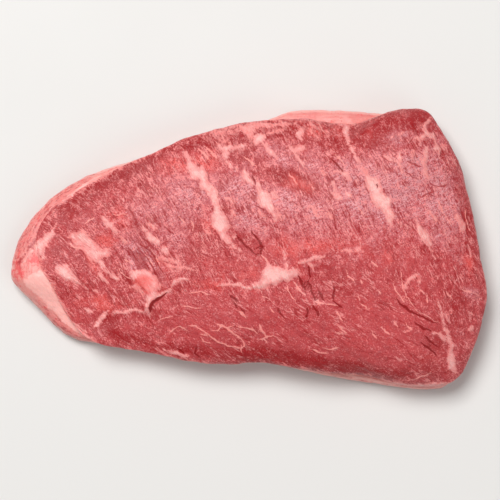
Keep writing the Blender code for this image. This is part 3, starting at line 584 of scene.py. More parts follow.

# Fine furrows, dark lines and specks, less dark than the cracks. The folds of the trough are painted shade
# in their grooves, and the lines left of the knot and right of the flap's heart are painted shadows.
FURROWS = {
    "dark line by the long streak": (
        (-16.6, 25, 1.1), (-14.7, 21.8, 1.1), (-12.8, 19.3, 0.8), (-11.6, 16.8, 1.1), (-9.7, 14.9, 0.5),
    ),
    "hole in the long streak": ((-18.5, 14.9, 1.6), (-16.6, 14.9, 1.6)),
    "dark spot in the long streak": ((-26.7, 47.6, 1.3), (-25.4, 49.5, 0.8), (-25.4, 45.1, 0.8)),
    "left dark line": ((-35.5, 4.9, 1.1), (-34.3, 2.4, 1.1), (-33, 0.5, 0.5)),
    "second left dark line": ((-30.5, -1.4, 0.5), (-26.7, -3.3, 1.1), (-23.5, -4.6, 0.5)),
    # Painted shadow along the knot's left border.
    "dark line left of the knot": (
        (-65.9, 7.4, 0.8), (-63.4, 4.9, 1.3), (-61.5, 3, 1.6), (-60.2, 1.1, 0.8),
    ),
    "dark edge of the knot": ((-61.5, 10.6, 0.5), (-58.9, 8.7, 0.8), (-57, 6.1, 0.5)),
    "red line in the left third": ((-52.6, 14.3, 0.8), (-50, 12.4, 1.6), (-47.5, 9.9, 1.1)),
    "fifth furrow": ((99.5, -63.1, 0.7), (102.6, -66.9, 0.9), (106, -70.5, 0.5)),
    # Painted shadow beside the flap's heart.
    "line right of the heart": ((-58.3, -14, 0.8), (-57, -18.4, 1.1), (-55.7, -23.5, 0.8)),
    "crack in the patch at the lower left": (
        (-111.8, -9, 0.8), (-109.9, -12.8, 1.2), (-107.4, -17.9, 1.4), (-104.2, -22.3, 1.4),
        (-100.3, -26.1, 1.1), (-95.8, -29.9, 0.5),
    ),
    "groove in the left third": (
        (-75.4, 25.7, 0.8), (-74.2, 23.8, 1.3), (-72.2, 21.3, 1.3), (-71, 18.8, 1.6), (-69.7, 15.6, 1.3),
        (-70.3, 13.1, 0.8),
    ),
    # Painted shade in the grooves of the trough's folds:
    "first fold of the trough": (
        (-65.9, 6.8, 0.5), (-63.4, 4.6, 1.1), (-60.8, 2.4, 1.2), (-59.2, 0.5, 0.5),
    ),
    "second fold of the trough": (
        (-71, 4.9, 0.5), (-67.8, 3.3, 0.8), (-65.3, 1.7, 1), (-62.7, -0.2, 1.1), (-60.8, -2.4, 1),
        (-58.9, -5.2, 1.1), (-57, -8.4, 1.1), (-55.1, -11.5, 0.9), (-53.8, -14, 0.5),
    ),
    "third fold of the trough": (
        (-69.1, -0.2, 0.5), (-65.9, -2.7, 0.9), (-63.4, -5.2, 1), (-61.8, -8.4, 1), (-60.5, -11.5, 1),
        (-58.9, -14.7, 0.9), (-57, -17.8, 1.3), (-55.4, -21.6, 1.4), (-55.1, -25.4, 0.6),
    ),
    "fourth fold of the trough": (
        (-77.3, 1.7, 0.6), (-74.2, -0.8, 1), (-71.6, -3.9, 1), (-69.1, -7.1, 0.6),
    ),
    "fifth fold of the trough": (
        (-86.3, 1.7, 0.6), (-83.7, -1.4, 1.1), (-81.2, -5.2, 1), (-78.6, -8.4, 0.5),
    ),
    "sixth fold of the trough": (
        (-80.5, -13.4, 0.6), (-78, -16.6, 1.2), (-75.4, -19.4, 2), (-72.9, -22.3, 2.4), (-71, -24.1, 1),
    ),
    "small dark stroke at the left": ((-122.1, -17.3, 0.8), (-121.5, -21.1, 0.8)),
    "second dark stroke at the left": ((-115.7, -25.5, 0.8), (-114.4, -30, 0.8)),
    "third dark stroke at the left": ((-111.8, -29.3, 0.8), (-108.6, -31.8, 0.8)),
    "fourth dark stroke at the left": ((-105.4, -29.3, 0.8), (-103.5, -30.6, 0.8)),
    "outline of the tab": (
        (4.1, 61.9, 0.4), (3.2, 65, 1), (2.5, 68.2, 1), (2.8, 71.3, 1), (3.8, 74.4, 1.1), (5.7, 76.1, 1),
        (8.5, 77.2, 0.9), (11.6, 78, 0.5),
    ),
    "dots over the notch": ((1.6, 50, 0.8), (2.8, 48.7, 1.3), (3.5, 46.2, 0.8)),
    "shade under the second streak": ((4.7, 27.4, 1.1), (7.2, 26.2, 1.3), (9.7, 24.9, 0.8)),
    "arc at the upper edge": ((21.6, 62.4, 0.5), (24.1, 63.7, 1.1), (27.2, 65.5, 1.3), (32.2, 66.8, 0.5)),
    "strands' dark lines": ((14.1, 73.1, 0.5), (17.2, 73.1, 0.8), (21, 72.4, 0.8)),
    "strands' second dark lines": ((19.7, 76.2, 0.8), (23.5, 74.9, 1.1), (26.6, 74.3, 0.8)),
    "line at the pale rim": ((-5.3, 73.2, 0.4), (-2.8, 72, 0.8), (-0.3, 70.7, 0.5)),
    "red knot at the rim": ((26, 80.6, 1.1), (29.1, 79.6, 1.3)),
    "second red knot at the rim": ((32.2, 79.9, 1.1), (33.5, 78, 1.6)),
    "line beside the pale strand": (
        (60.9, 66.6, 0.5), (63.4, 62.9, 1.1), (64.9, 60.4, 0.8), (64.6, 56.6, 1.3),
    ),
    "dark line in the skin": ((26, 29.2, 0.5), (27.9, 29.9, 0.8), (31, 27.7, 0.8)),
    "second dark line in the skin": ((60.3, 27.9, 0.8), (61.5, 24.8, 1.1), (63.4, 21.7, 0.8)),
    "third dark line in the skin": ((59, 24.2, 0.5), (60.9, 20.4, 0.8)),
    "dark stroke over the third streak": ((65.9, 42.9, 0.8), (67.1, 41, 1.6), (65.3, 39.8, 1.1)),
    "dark stroke beside it": ((69.6, 41, 0.8), (72.1, 42.6, 0.8)),
    "line left of the third streak": ((72.7, 41, 0.5), (74, 37.9, 1.1), (75.2, 35.4, 0.5)),
    "dark spot beside the third streak": ((90.4, 28.5, 1.1), (91.7, 26, 1.3)),
    "grooves at the upper right": ((83.9, 57.8, 0.8), (87.6, 56, 0.8), (91.4, 54.7, 0.5)),
    "right groove in the skin": (
        (98.2, 56, 0.5), (101.4, 54.7, 1.1), (104.5, 53.5, 1.3), (108.2, 52.2, 0.5),
    ),
    "second groove in the skin": ((98.9, 48.5, 0.8), (103.2, 46, 0.8), (107.6, 43.5, 0.5)),
    "small groove in the skin": ((96.4, 42.2, 0.8), (97.9, 40.4, 1.3)),
    "curved groove": ((115.2, 41.6, 0.8), (119.6, 39.8, 0.8), (123.4, 40.4, 1.1), (125.9, 41.4, 0.5)),
    "groove at the thick end": (
        (134.2, 26.1, 0.8), (135.4, 21.7, 1.6), (136.7, 17.4, 1.6), (138, 11.7, 1.3), (138.6, 8, 0.5),
    ),
    "red line at the branch": ((115.2, 36, 1.1), (109.5, 33.5, 1.1)),
    "dark dot at the island": ((6.6, -7.7, 0.8), (8.5, -11.4, 0.8)),
    "dots right of the lilac gloss": ((96.4, 73.4, 1.6), (97.6, 74, 1.1)),
    "second dot right of the gloss": ((95.7, 68.4, 0.8), (98.2, 67.8, 1.1)),
    "third dot right of the gloss": ((96.4, 76.5, 1.1), (97.6, 75.9, 1.1)),
    "dark specks on the gloss": ((97, 70.6, 0.8), (98.9, 69.1, 1)),
    "second dark speck on the gloss": ((101.4, 67.8, 1), (103.2, 69.4, 0.7)),
    "sixth furrow": ((94.5, -44.4, 0.6), (99.5, -46.9, 0.9), (104.5, -50.1, 0.6)),
    "seventh furrow": ((89.5, -54.4, 0.5), (94.5, -57.5, 0.9), (99.5, -61.3, 0.5)),
    "dash in the band": ((-133.7, 24.6, 0.6), (-134.7, 20.8, 1.2), (-135.7, 15.1, 0.6)),
    "second dash in the band": ((-138.9, 11.9, 0.6), (-140.5, 7.5, 0.9)),
    "third dash in the band": ((-143.1, 7.5, 0.5), (-144.1, 2.4, 0.7)),
    "fourth dash in the band": ((-140.8, 17, 0.5), (-142.4, 13.2, 0.6)),
    "fifth dash in the band": ((-145.7, -0.2, 0.5), (-147, -4.6, 0.6)),
    "sixth dash in the band": ((-129.8, 28.4, 0.5), (-131.8, 25.2, 0.7)),
}

# Soft patches: x, y, radius along, radius across, turn in degrees, strength. One below 0 takes away.
# Where the silverskin lies, and with it its painted sheen, glints and shade.
SKIN_PATCHES = {
    "skinned middle": (35, 28, 48, 20, -8, 1),
    "skinned right": (104, 42, 31, 27, 10, 1.3),
    "skinned upper part": (21, 59, 17, 10, -25, 0.9),
    "skinned upper right": (60, 47, 23, 15, -10, 0.9),
    "skinned left part": (-8, 36, 20, 13, 10, 0.8),
    # Skin with a painted sheen over the trough.
    "skin and painted sheen over the trough": (-68, -5, 15, 10, -38, 1.5),
    "skin beside the long streak": (-37, 34, 13, 12, 0, 0.6),
    "skin at the left": (-97, 17, 9, 6, -10, 0.4),
    "skinned upper left": (-58, 28, 26, 17, 15, 0.7),
    "skin at the far right": (122, 18, 15, 22, 15, 0.8),
    # Skin with a painted lilac reflection by the corner.
    "skin and painted lilac reflection by the corner": (95, 71, 6.5, 4.5, 10, 1.6),
    "skin patch at the edge": (140, -26, 6, 5, 0, 0.5),
    "skin below the middle": (-2, 16, 16, 9, -20, 0.7),
    "grey patch at the lower left": (-94, -53, 6, 4, -20, 0.6),
    "skin by the third streak": (80, 30, 14, 12, 0, 0.6),
    "skin right of the knot": (-46, 8, 14, 10, -40, 0.55),
    "skin by the branched streak": (104, 56, 16, 9, 0, 0.5),
    "bare red hollow": (30, 43, 16, 6, -22, -1.5),
    "bare edge of the red hollow": (12, 48, 8, 4, -30, -0.8),
    "bare spot beside the long streak": (-14, 26, 7, 5, 0, -0.8),
    "bare field right of the long streak": (-2, 6, 10, 6, -30, -0.8),
    "bare band under the roll": (98, 64, 16, 3, -4, -0.5),
    "bare field at the thick end": (106, 28, 10, 8, 0, -0.6),
}

BLOOM_PATCHES = {
    "ground beside the roll": (79, 72, 9, 6, 0, 0.5),
    "ground of the red hollow": (32, 41, 11, 4.5, -20, 1.5),
    "bright field by the arc": (-46, 53, 15, 6, 8, 0.8),
    "bright field by the long streak": (-27, 56, 9, 7, -20, 0.8),
    "bright field in the left third": (-82, 21, 10, 8, -30, 0.8),
    "bright spot by the patch": (-90, 5, 7, 4, 0, 1),
    "bright field by the knot": (-54, -8, 8, 6, -40, 0.9),
    "heart of the flap": (-66, -19.5, 5.5, 4, -10, 3.0),
    "foot of the flap": (-62, -26, 6, 3, 0, 0.9),
    "field left of the flap": (-84, -32, 17, 6, -5, 0.8),
    "field at the lower left": (-95, -36, 9, 4, -10, 0.45),
    "edge of the patch's tail": (-99, -8, 3, 8, 35, 1),
    "field left of the island": (-8, -16, 22, 8, 0, 0.45),
    "field over the island": (23, 2, 14, 9, 0, 0.6),
    "field under the skin": (48, 3, 19, 6, 6, 0.7),
    "fibres under the fat band": (42, 75, 15, 5, 0, 0.8),
    "spot by the tab": (12, 66, 4, 3, 0, 1),
    "spot right of the middle": (88, -5, 6, 6, 0, 0.7),
    "edge of the thick end": (139, -8, 3, 9, 8, 0.7),
    "field by the branched streak": (118, 51, 9, 9, 0, 0.6),
    "long streak's lower left": (-26, 16, 5, 9, 25, 0.9),
    "blood in the point": (-136.5, -7, 4.5, 4, -20, 1.2),
    "blood spot in the point": (-144, -15, 3, 2.2, 0, 1.1),
    "field under the left edge": (-116, 38, 13, 3, 35, 0.3),
    "blush over the tip": (-148, -13, 5, 12, 0, 0.6),
    "spot in the upper left": (-27, 27, 4, 3, 0, 0.9),
    "bright field at the right": (113, 14, 8, 5, 0, 0.7),
    "field over the step": (-30, -22, 14, 4, 0, 0.4),
}

# Darker red fields. Some are painted shade: along the upper edge and over the roll, down the lower edge and
# the thick end, and in the grooves beside the knot and the flap.
DEEP_PATCHES = {
    # Painted shade along the upper edge:
    "dark band by the upper edge": (-36, 67, 17, 3, 12, 0.9),
    "dark field at the upper left": (-72, 54, 17, 8, 22, 1.4),
    "dark field by the left edge": (-95, 41, 15, 6, 30, 0.8),
    "dark field over the second streak": (-3, 58, 14, 6, -5, 0.8),
    "red hollow": (30, 43, 14, 5, -24, 2.4),
    "dark field right of the seam": (57, -20, 16, 13, 0, 0.7),
    # Painted shade and shadow in the grooves beside the knot, over the trough and beside the flap:
    "groove of the left third": (-73.5, 22.6, 9, 2.2, -62, 0.9),
    "groove's middle": (-66.5, 8.7, 8, 2.2, -55, 0.9),
    "groove over the trough": (-59, -6, 8, 2.0, -62, 0.9),
    "groove right of the flap": (-55.7, -17.2, 8, 2.4, -82, 1.3),
    "groove left of the flap": (-76.1, -18.5, 7, 2.2, -50, 1.2),
    "dark field right of the vein": (-120, 1, 7, 10, 0, 0.7),
    "red field by the fat band": (77, 73, 10, 8, -15, 1.3),
    # Painted shade over the roll, its edge and its foot:
    "roll": (97, 80, 18, 9, 10, 1.8),
    "edge of the roll": (108, 84, 11, 4, -30, 0.8),
    "roll's foot": (84, 75, 9, 9, 0, 1.3),
    "dark field under the roll": (113, 67, 9, 3, 0, 0.5),
    "red field at the upper right": (85, 65, 18, 4, -10, 0.3),
    "red field in the upper part": (54, 65, 12, 5, -5, 0.7),
    # Painted shade along the upper rim.
    "painted shade along the upper rim": (16, 74, 46, 8, 2, 0.9),
    "red ground of the pale bar": (-14, 66, 16, 5, 5, 0.7),
    # Painted shade at the upper edge of the left third.
    "painted shade at the upper edge of the left third": (-114, 27, 16, 9, 34, 0.9),
    # Painted shade at the lower corner of the left part.
    "dark corner of the lower left": (-76, -56, 10, 4, -12, 0.8),
    "dark spot at the lower left": (-91, -49, 8, 7, 0, 1.1),
    # Painted shade along the lower edge, where the meat falls away from the light:
    "dark lower edge at the left": (-46, -62, 23, 3, -6, 0.9),
    "dark lower edge in the middle": (10, -68, 34, 6, -6, 1.1),
    "dark lower edge at the right": (51, -74, 30, 5, -9, 1.1),
    "dark lower edge, far right": (82, -79, 22, 4, -5, 0.7),
    "dark field of the cracks": (32, -40, 18, 9, -5, 0.6),
    # Painted shade at the lower corner.
    "dark field at the lower corner": (110, -76, 19, 6, 0, 0.5),
    "dark field at the thick end": (129, -35, 14, 14, 0, 0.7),
    # Painted shade down the edge of the thick end, where it rolls away:
    "dark edge of the thick end": (134, 40, 5, 19, 20, 1.1),
    "lower dark edge of the thick end": (138, 18, 4, 22, 14, 0.9),
    "dark spot by the second streak": (-15, 27, 4, 3, 0, 0.9),
    "dark field right of the long streak": (-2, 6, 8, 6, -30, 0.5),
    "dark field at the lower right": (120, -59, 9, 6, -40, 0.5),
    "dark field at the lower left": (-90, -43, 10, 8, 0, 0.6),
    "dark trimmed corner": (-30, -1, 14, 5, -5, 0.35),
}

# Fields of the fat's cut edge with flecks of meat.
FLECK_PATCHES = {
    "upper edge of the point": (-131, 22, 28, 9, 42, 1.0),
    "tip of the point": (-146, -4, 9, 16, 0, 0.8),
    "lower edge of the point": (-122, -48, 26, 7, -38, 0.95),
    "upper edge behind the point": (-108, 44, 20, 4, 30, 0.6),
    "lower edge at the thick end": (100, -86, 50, 4, 0, 0.7),
}

# Fields of pale strands that run along the fibres.
STRAND_PATCHES = {
    "strands under the fat band": (40, 76, 28, 5, 0, 1),
    "mottled rim left of the band": (4, 77, 22, 5, 4, 1.5),
    "pale rim beside it": (-18, 74, 14, 4, 14, 1.2),
    "pale bar by the upper edge": (-8, 64.5, 12, 2.5, 4, 1.5),
    "bar over the red hollow": (31, 63, 7, 3, 10, 1.5),
    "strands left of the tab": (-17, 66, 16, 8, 10, 0.8),
    "strands by the long streak": (-40, 54, 14, 7, 10, 0.6),
    "strands in the upper left": (-78, 38, 16, 10, 20, 0.5),
    "strands behind the point": (-106, 34, 22, 8, 35, 0.8),
    "strands at the thick end": (124, 22, 12, 22, 15, 0.6),
    "strands under the third streak": (70, 12, 26, 10, 0, 0.4),
    "strands at the lower left": (-103, -30, 14, 10, -30, 0.5),
    "strands by the corner": (116, 66, 8, 14, 20, 0.5),
}

# Fields of the trimmed face where the fine texture lies quieter.
CALM_PATCHES = {
    "trimmed face, left": (-14, -52, 58, 24, -6, 1.2),
    "trimmed face, right": (78, -50, 52, 36, -6, 1.3),
    "right of the middle": (96, -8, 36, 14, -5, 0.6),
    "under the streaks of the left third": (-90, -50, 20, 10, -10, 0.5),
    "red hollow": (34, 42, 14, 6, -8, 1.0),
    "roll": (97, 80, 22, 10, 10, 0.5),
    "heart and body of the flap": (-63, -23, 7, 6, -30, 1.2),
    "left edge": (-116, 22, 16, 12, 34, 0.6),
    "right of the vein": (-118, 1, 10, 11, 0, 1.0),
    "over the island": (20, 1, 20, 11, 0, 0.8),
    "left of the island": (-6, -14, 22, 9, 0, 0.7),
    "foot of the trough": (-105, -30, 20, 12, -20, 0.5),
}

# Forms that stand proud of the lean: the height, the width of their slope, and strokes as above.
RAISED = {
    "flap": (1.2, 1.4, ((-71, -18.5, 4), (-66, -20, 9), (-62, -24, 11), (-61.5, -30, 7), (-62, -36, 2))),
    "left side of the flap": (0.8, 2.5, ((-86, -33, 2), (-76, -32, 9), (-68, -33, 9), (-64, -36, 3))),
    "island": (0.6, 1.6, ((0, -23.5, 1), (6, -21.5, 5), (13, -16, 13), (21, -14.5, 11), (28, -14.5, 5))),
}
# Folds of the skin that run along the fibres: x, y, radius along, radius across, turn, height.
WRINKLES = {
    "trough in the left third": (-67, -6, 20, 12, -44, 0.7),
    "skin left of the long streak": (-36, 0, 12, 6, -35, 0.38),
    "furrows to the lower corner": (116, -54, 12, 14, -30, 0.35),
    "skin under the roll": (98, 70, 9, 8, 0, 0.3),
    "red strands under the fat band": (42, 74, 20, 5, 0, 0.35),
}
WRINKLE_SPACING = 3.1
FULL_WRINKLE = 0.4
WRINKLE_DRIFT = 5.0
WRINKLE_DRIFT_SIZE = (18, 9, 9)

AREAS = {"white_fat": WHITE_AREAS, "pink_fat": PINK_AREAS, "meat": MEAT_AREAS}
STROKES = {
    "white_fat": WHITE_FAT,
    "pink_fat": PINK_FAT,
    "veins": VEINS,
    "cracks": CRACKS,
    "furrows": FURROWS,
}
THIN_STROKES = {"vein_line": VEINS, "crack_line": CRACKS, "furrow_line": FURROWS}
PATCHES = {
    "skin": SKIN_PATCHES,
    "bloom": BLOOM_PATCHES,
    "deep": DEEP_PATCHES,
    "flecks": FLECK_PATCHES,
    "strands": STRAND_PATCHES,
    "calm": CALM_PATCHES,
}

# The marks that each material reads from its mesh.
MUSCLE_MARKS = (*STROKES, *THIN_STROKES, "skin", "bloom", "deep", "strands", "calm")
FAT_MARKS = ("white_fat", "meat", "cracks", "crack_line", "furrows", "furrow_line", "bloom", "flecks")
GRAINS = ("grain", "flat_grain")

FARTHEST_MARK = 6.0
FARTHEST_LINE = 8.0
MARK_WOBBLE = 0.8
MARK_WOBBLE_SIZE = 4.0

# Each seed moves the noise one step away. Each octave is half as large and half as strong.
SEED_STEP = (17.3, 5.1, 29.7)
OCTAVE_STEP = 2.0
OCTAVE_FALL = 1.0

# The fringe is pale fat along the lean's edge, wider where more fat shows. Bare lean has none.
FRINGE_SHARE = 0.2
FRINGE_BAND = (-4, 6)
BARE_EDGE = 4.0
BARE_EDGE_DEPTH = (-1.5, 0.5)

# The fibres run down to the right, flatter in the point and in the trimmed face than in the rest.
TRIM_LINE = ((-100, -52), (-60, -40), (-40, -26), (30, -26), (62, -8), (90, -12), (110, -34), (145, -48))
TRIM_SOFTNESS = 12.0
FLAT_GRAIN = -32.0
GRAIN_CENTRE = (-100.0, -5.0)
GRAIN_AT_POINT = -38.0
GRAIN_TURN = -26.0
GRAIN_TURN_RUN = 45.0
POINT_X = -125.0

# ---- relief, in millimetres

LUMP_SIZE = 20
DIMPLE_SIZE = 7
BUNDLE_SIZE = (16, 4.2, 8)
FAT_LUMP_SIZE = 16
FAT_DIMPLE_SIZE = 5

# How deep inside a mark its relief starts and is full, and how much smoother fat is than meat.
STREAK_EDGE = (-0.6, 0.8)
VEIN_EDGE = (-0.6, 0.5)
CRACK_EDGE = (-0.9, 0.6)
RAISED_FOOT = -0.5
STREAK_SMOOTHNESS = 0.7

# The relief fades out towards the seam between lean and fat.
LEAN_SEAM_FADE = (0.1, 3.0)
FAT_SEAM_FADE = (0.0, 3.0)

# The underside has shallow hollows in its flat foot, and none of the marks of the top.
HOLLOW_SIZE = 14
HOLLOW_SHARE = 0.35
FLAT_FOOT = 0.01
UNDERSIDE_REACH = 1.5

# ---- plan: bearings, rings and edges


def bearing_and_reach(xy):
    """The bearing from the centre, and the reach, where 1 is the ellipse of the half sizes."""
    offset = (xy - CENTRE) / (HALF_LENGTH, HALF_WIDTH)
    return np.arctan2(offset[:, 1], offset[:, 0]), np.hypot(*offset.T)


def edge_of(node):
    """The outline of a solid from above: the farthest point at each bearing, smoothed."""
    points = np.array([vert.co[:2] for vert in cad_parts[node].data.vertices]) / MM
    bearing, reach = bearing_and_reach(points)
    column = np.round(bearing / math.tau * EDGE_COLUMNS).astype(int) % EDGE_COLUMNS
    by_reach = np.lexsort((reach, column))
    rim = by_reach[np.flatnonzero(np.diff(column[by_reach], append=EDGE_COLUMNS))]
    rim = rim[np.argsort(bearing[rim])]
    fine = np.linspace(-math.pi, math.pi, FINE_COLUMNS, endpoint=False)
    line = np.interp(fine, bearing[rim], reach[rim], period=math.tau)
    for _ in range(EDGE_SMOOTHING):
        line = (np.roll(line, 1) + 2 * line + np.roll(line, -1)) / 4
    return fine, line


LEAN_REACH = edge_of("lean")
FAT_REACH = edge_of("fat_cap")


def edge_point(table, bearing):
    """Where the edge lies at a bearing, as rows of x, y."""
    reach = np.interp(bearing, *table, period=math.tau)
    around = np.stack([np.cos(bearing), np.sin(bearing)], axis=1)
    return CENTRE + around * reach[:, None] * (HALF_LENGTH, HALF_WIDTH)


def inward(bearing):
    """The direction from the edge to the centre, of length 1."""
    away = np.stack([np.cos(bearing) * HALF_LENGTH, np.sin(bearing) * HALF_WIDTH], axis=1)
    return -away / np.linalg.norm(away, axis=1)[:, None]


def round_grid(mesh, cells):
    """Adds a square grid and returns its points, with the bearing and ring (0 to 1) of each.

    Every square ring of the grid becomes a round one, so the rows follow the edge of the meat.
    """
    made = bmesh.ops.create_grid(mesh, x_segments=cells, y_segments=cells, size=1)["verts"]
    across, along = np.array([vert.co[:2] for vert in made]).T
    ring = np.maximum(abs(across), abs(along))
    wide = abs(across) > abs(along)
    share = np.divide(
        np.where(wide, along, across),
        np.where(wide, across, along),
        out=np.zeros_like(across),
        where=ring > 0,
    )
    turn = math.pi / 4 * share
    bearing = np.where(wide, turn, math.pi / 2 - turn)
    backward = np.where(wide, across, along) < 0
    return made, bearing + math.pi * backward, ring


# ---- heights


def eased(value, low, high):
    """0 below low, 1 above high, and a smooth rise between them."""
    share = np.clip((value - low) / (high - low), 0, 1)
    return share * share * (3 - 2 * share)


def from_centre(xy):
    """How far each point lies from the centre, in plan."""
    return np.linalg.norm(xy - CENTRE, axis=1)


def band_width(bearing):
    """How far the fat shows outside the lean, in plan. It is negative where the lean rolls over."""
    return from_centre(edge_point(FAT_REACH, bearing)) - from_centre(edge_point(LEAN_REACH, bearing))


def seam_height(bearing):
    """The height at which lean and fat meet at the side."""
    return FAT_THICKNESS + FAT_WRAP_SLOPE * np.clip(band_width(bearing), 0, None)


def wall_height(bearing):
    """The height of the lean's own side above that seam."""
    wall = RIM_WALL + sum(size * np.sin(count * bearing + phase) for count, size, phase in WALL_WAVES)
    wrapped = eased(band_width(bearing), 0, FULL_WRAP)
    return wall + (WRAPPED_LIP - wall) * wrapped


def tuck(bearing):
    """How far the lean's side draws in between its widest line and the seam."""
    rolled = eased(-band_width(bearing), ROLL_STARTS, FULL_ROLL)
    return LEAST_TUCK + (ROLL_TUCK - LEAST_TUCK) * rolled


def seam_point(bearing):
    """Where lean and fat meet at the side, as rows of x, y."""
    return edge_point(LEAN_REACH, bearing) + inward(bearing) * tuck(bearing)[:, None]


def soft_patch(x, y, east, north, along, across, turn):
    """1 in the middle of a turned oval, and less the farther out."""
    angle = math.radians(turn)
    run = (x - east) * math.cos(angle) + (y - north) * math.sin(angle)
    side = (y - north) * math.cos(angle) - (x - east) * math.sin(angle)
    return np.exp(-((run / along) ** 2) - (side / across) ** 2)


def patched(x, y, patches):
    """The sum of the soft patches, each times its strength or height."""
    return sum(strength * soft_patch(x, y, *oval) for *oval, strength in patches.values())


def step_height(x, y):
    """Half a step up on the skinned side of the step line and half a step down on the other."""
    line_x, line_y = np.array(STEP_LINE, float).T
    side = y - np.interp(x, line_x, line_y)
    fade = eased(x, *STEP_BEGINS) * (1 - eased(x, *STEP_ENDS)) * np.exp(-((side / STEP_REACH) ** 2))
    return 0.5 * STEP_HEIGHT * np.tanh(side / STEP_SOFTNESS) * fade


def crown_height(x, y):
    """The top of the lean before it falls away at the edge."""
    towards_point = np.clip((THICKEST_X - x) / POINT_RUN, 0, None)
    towards_butt = np.clip((x - THICKEST_X) / (HALF_LENGTH - THICKEST_X), 0, None)
    spine = THICK_END_HEIGHT - POINT_DROP * towards_point**POINT_POWER - BUTT_DROP * towards_butt**2
    return spine - SIDE_DROP * (y / HALF_WIDTH) ** 2 + patched(x, y, SWELLS) + step_height(x, y)


def dish(bearing, ring):
    """A point of the dished face between fat and lean: rows of x, y, and the heights."""
    xy = CENTRE + (seam_point(bearing) - CENTRE) * ring[:, None]
    rise = seam_height(bearing) - FAT_THICKNESS
    return xy, FAT_THICKNESS + rise * ring**DISH_POWER


# ---- marks


def cloud(points, size, seed, octaves=3):
    """Smooth noise of about -1 to 1 at rows of x, y, z. Its lumps measure size, one number or three."""
    where = points / np.array(size, float) + seed * np.array(SEED_STEP)
    return np.array([noise.fractal(point, OCTAVE_FALL, OCTAVE_STEP, octaves) for point in where.tolist()])


def trimmed_share(x, y):
    """1 in the trimmed face, where the fibres lie flatter, and 0 above it."""
    line_x, line_y = np.array(TRIM_LINE, float).T
    return eased(np.interp(x, line_x, line_y) - y, 0, TRIM_SOFTNESS)


def steep_grain(x):
    """The angle of the fibres outside the trimmed face, in degrees."""
    return GRAIN_AT_POINT + GRAIN_TURN * (1 - np.exp(-np.clip(x - POINT_X, 0, None) / GRAIN_TURN_RUN))


def grain_of(points, degrees):
    """Coordinates along fibres that lie at the angle, across them and upwards, in millimetres."""
    x, y, z = points.T
    angle = np.radians(degrees)
    east, north = x - GRAIN_CENTRE[0], y - GRAIN_CENTRE[1]
    along = east * np.cos(angle) + north * np.sin(angle)
    across = north * np.cos(angle) - east * np.sin(angle)
    return np.stack([along, across, z], axis=1)


def off_segment(x, y, start, end):
    """How far along the line from start to end each point lies, how far off it, and on which side.

    The first is a share from 0 to 1. The side is above 0 to the left and below 0 to the right.
    """
    east, north = x - start[0], y - start[1]
    run_x, run_y = end[0] - start[0], end[1] - start[1]
    share = np.clip((east * run_x + north * run_y) / (run_x**2 + run_y**2), 0, 1)
    away = np.hypot(east - share * run_x, north - share * run_y)
    return share, away, north * run_x - east * run_y


def runs_of(strokes):
    """Every run between two neighbouring stations of the strokes."""
    return [run for stations in strokes.values() for run in zip(stations, stations[1:])]


def half_width(start, end, share):
    """Half the width of a stroke at a share of the way from start to end."""
    return (start[2] + (end[2] - start[2]) * share) / 2


def stroke_depth(x, y, strokes):
    """How deep inside the strokes each point lies, in millimetres. Outside them it is below 0."""
    depth = np.full_like(x, -FARTHEST_MARK)
    for start, end in runs_of(strokes):
        share, away, _ = off_segment(x, y, start, end)
        depth = np.maximum(depth, half_width(start, end, share) - away)
    return depth


def area_depth(x, y, areas):
    """How deep inside the outlines each point lies, in millimetres. Outside them it is below 0."""
    depth = np.full_like(x, -FARTHEST_MARK)
    for corners in areas.values():
        nearest = np.full_like(x, np.inf)
        inside = np.zeros(x.shape, bool)
        for start, end in zip(corners, corners[1:] + corners[:1]):
            _, away, side = off_segment(x, y, start, end)
            nearest = np.minimum(nearest, away)
            inside ^= ((start[1] > y) != (end[1] > y)) & ((side > 0) == (end[1] > start[1]))
        depth = np.maximum(depth, np.where(inside, nearest, -nearest))
    return depth


def stroke_line(x, y, strokes):
    """The distance to the middle of the nearest stroke, in half widths of it.

    It is below 0 on one side and above 0 on the other, so a thin line stays thin between the points.
    """
    nearest = np.full_like(x, np.inf)
    line = np.full_like(x, FARTHEST_LINE)
    for start, end in runs_of(strokes):
        share, away, side = off_segment(x, y, start, end)
        widths = np.copysign(away, side) / half_width(start, end, share)
        line = np.where(away < nearest, np.clip(widths, -FARTHEST_LINE, FARTHEST_LINE), line)
        nearest = np.minimum(nearest, away)
    return line


def one_mark(x, y, name):
    """A mark at each point: the sum of its patches, its thin line, or how deep inside it the point is."""
    if name in PATCHES:
        return patched(x, y, PATCHES[name])
    if name in THIN_STROKES:
        return stroke_line(x, y, THIN_STROKES[name])
    return np.maximum(stroke_depth(x, y, STROKES.get(name, {})), area_depth(x, y, AREAS.get(name, {})))


def read_marks(points, names):
    """The named marks at each point. Their edges wobble a little, as no cut is quite straight."""
    east, north = (MARK_WOBBLE * cloud(points, MARK_WOBBLE_SIZE, seed) for seed in (1, 2))
    return {name: one_mark(points[:, 0] + east, points[:, 1] + north, name) for name in names}


def absent(name):
    """The value of a mark where it doesn't show."""
    if name in THIN_STROKES:
        return FARTHEST_LINE
    return 0 if name in PATCHES else -FARTHEST_MARK


def fringe_depth(points, bearing, meat):
    """How deep inside the fringe each point of the lean lies, in millimetres."""
    inside = np.linalg.norm(edge_point(LEAN_REACH, bearing) - points[:, :2], axis=1)
    fringe = FRINGE_SHARE * np.clip(band_width(bearing), *FRINGE_BAND) - inside
    return fringe - BARE_EDGE * eased(meat, *BARE_EDGE_DEPTH)


# ---- relief


def wrinkles(points, grain):
    """The folds of the skin, in millimetres above and below the plain form."""
    drift = WRINKLE_DRIFT * cloud(grain, WRINKLE_DRIFT_SIZE, seed=9, octaves=2)
    height = patched(*points[:, :2].T, WRINKLES)
    return height * np.sin(math.tau * grain[:, 1] / WRINKLE_SPACING + drift)


def raised_forms(x, y):
    """The height of the raised forms, in millimetres."""
    return sum(
        height * eased(stroke_depth(x, y, {name: stations}), RAISED_FOOT, slope)
        for name, (height, slope, stations) in RAISED.items()
    )


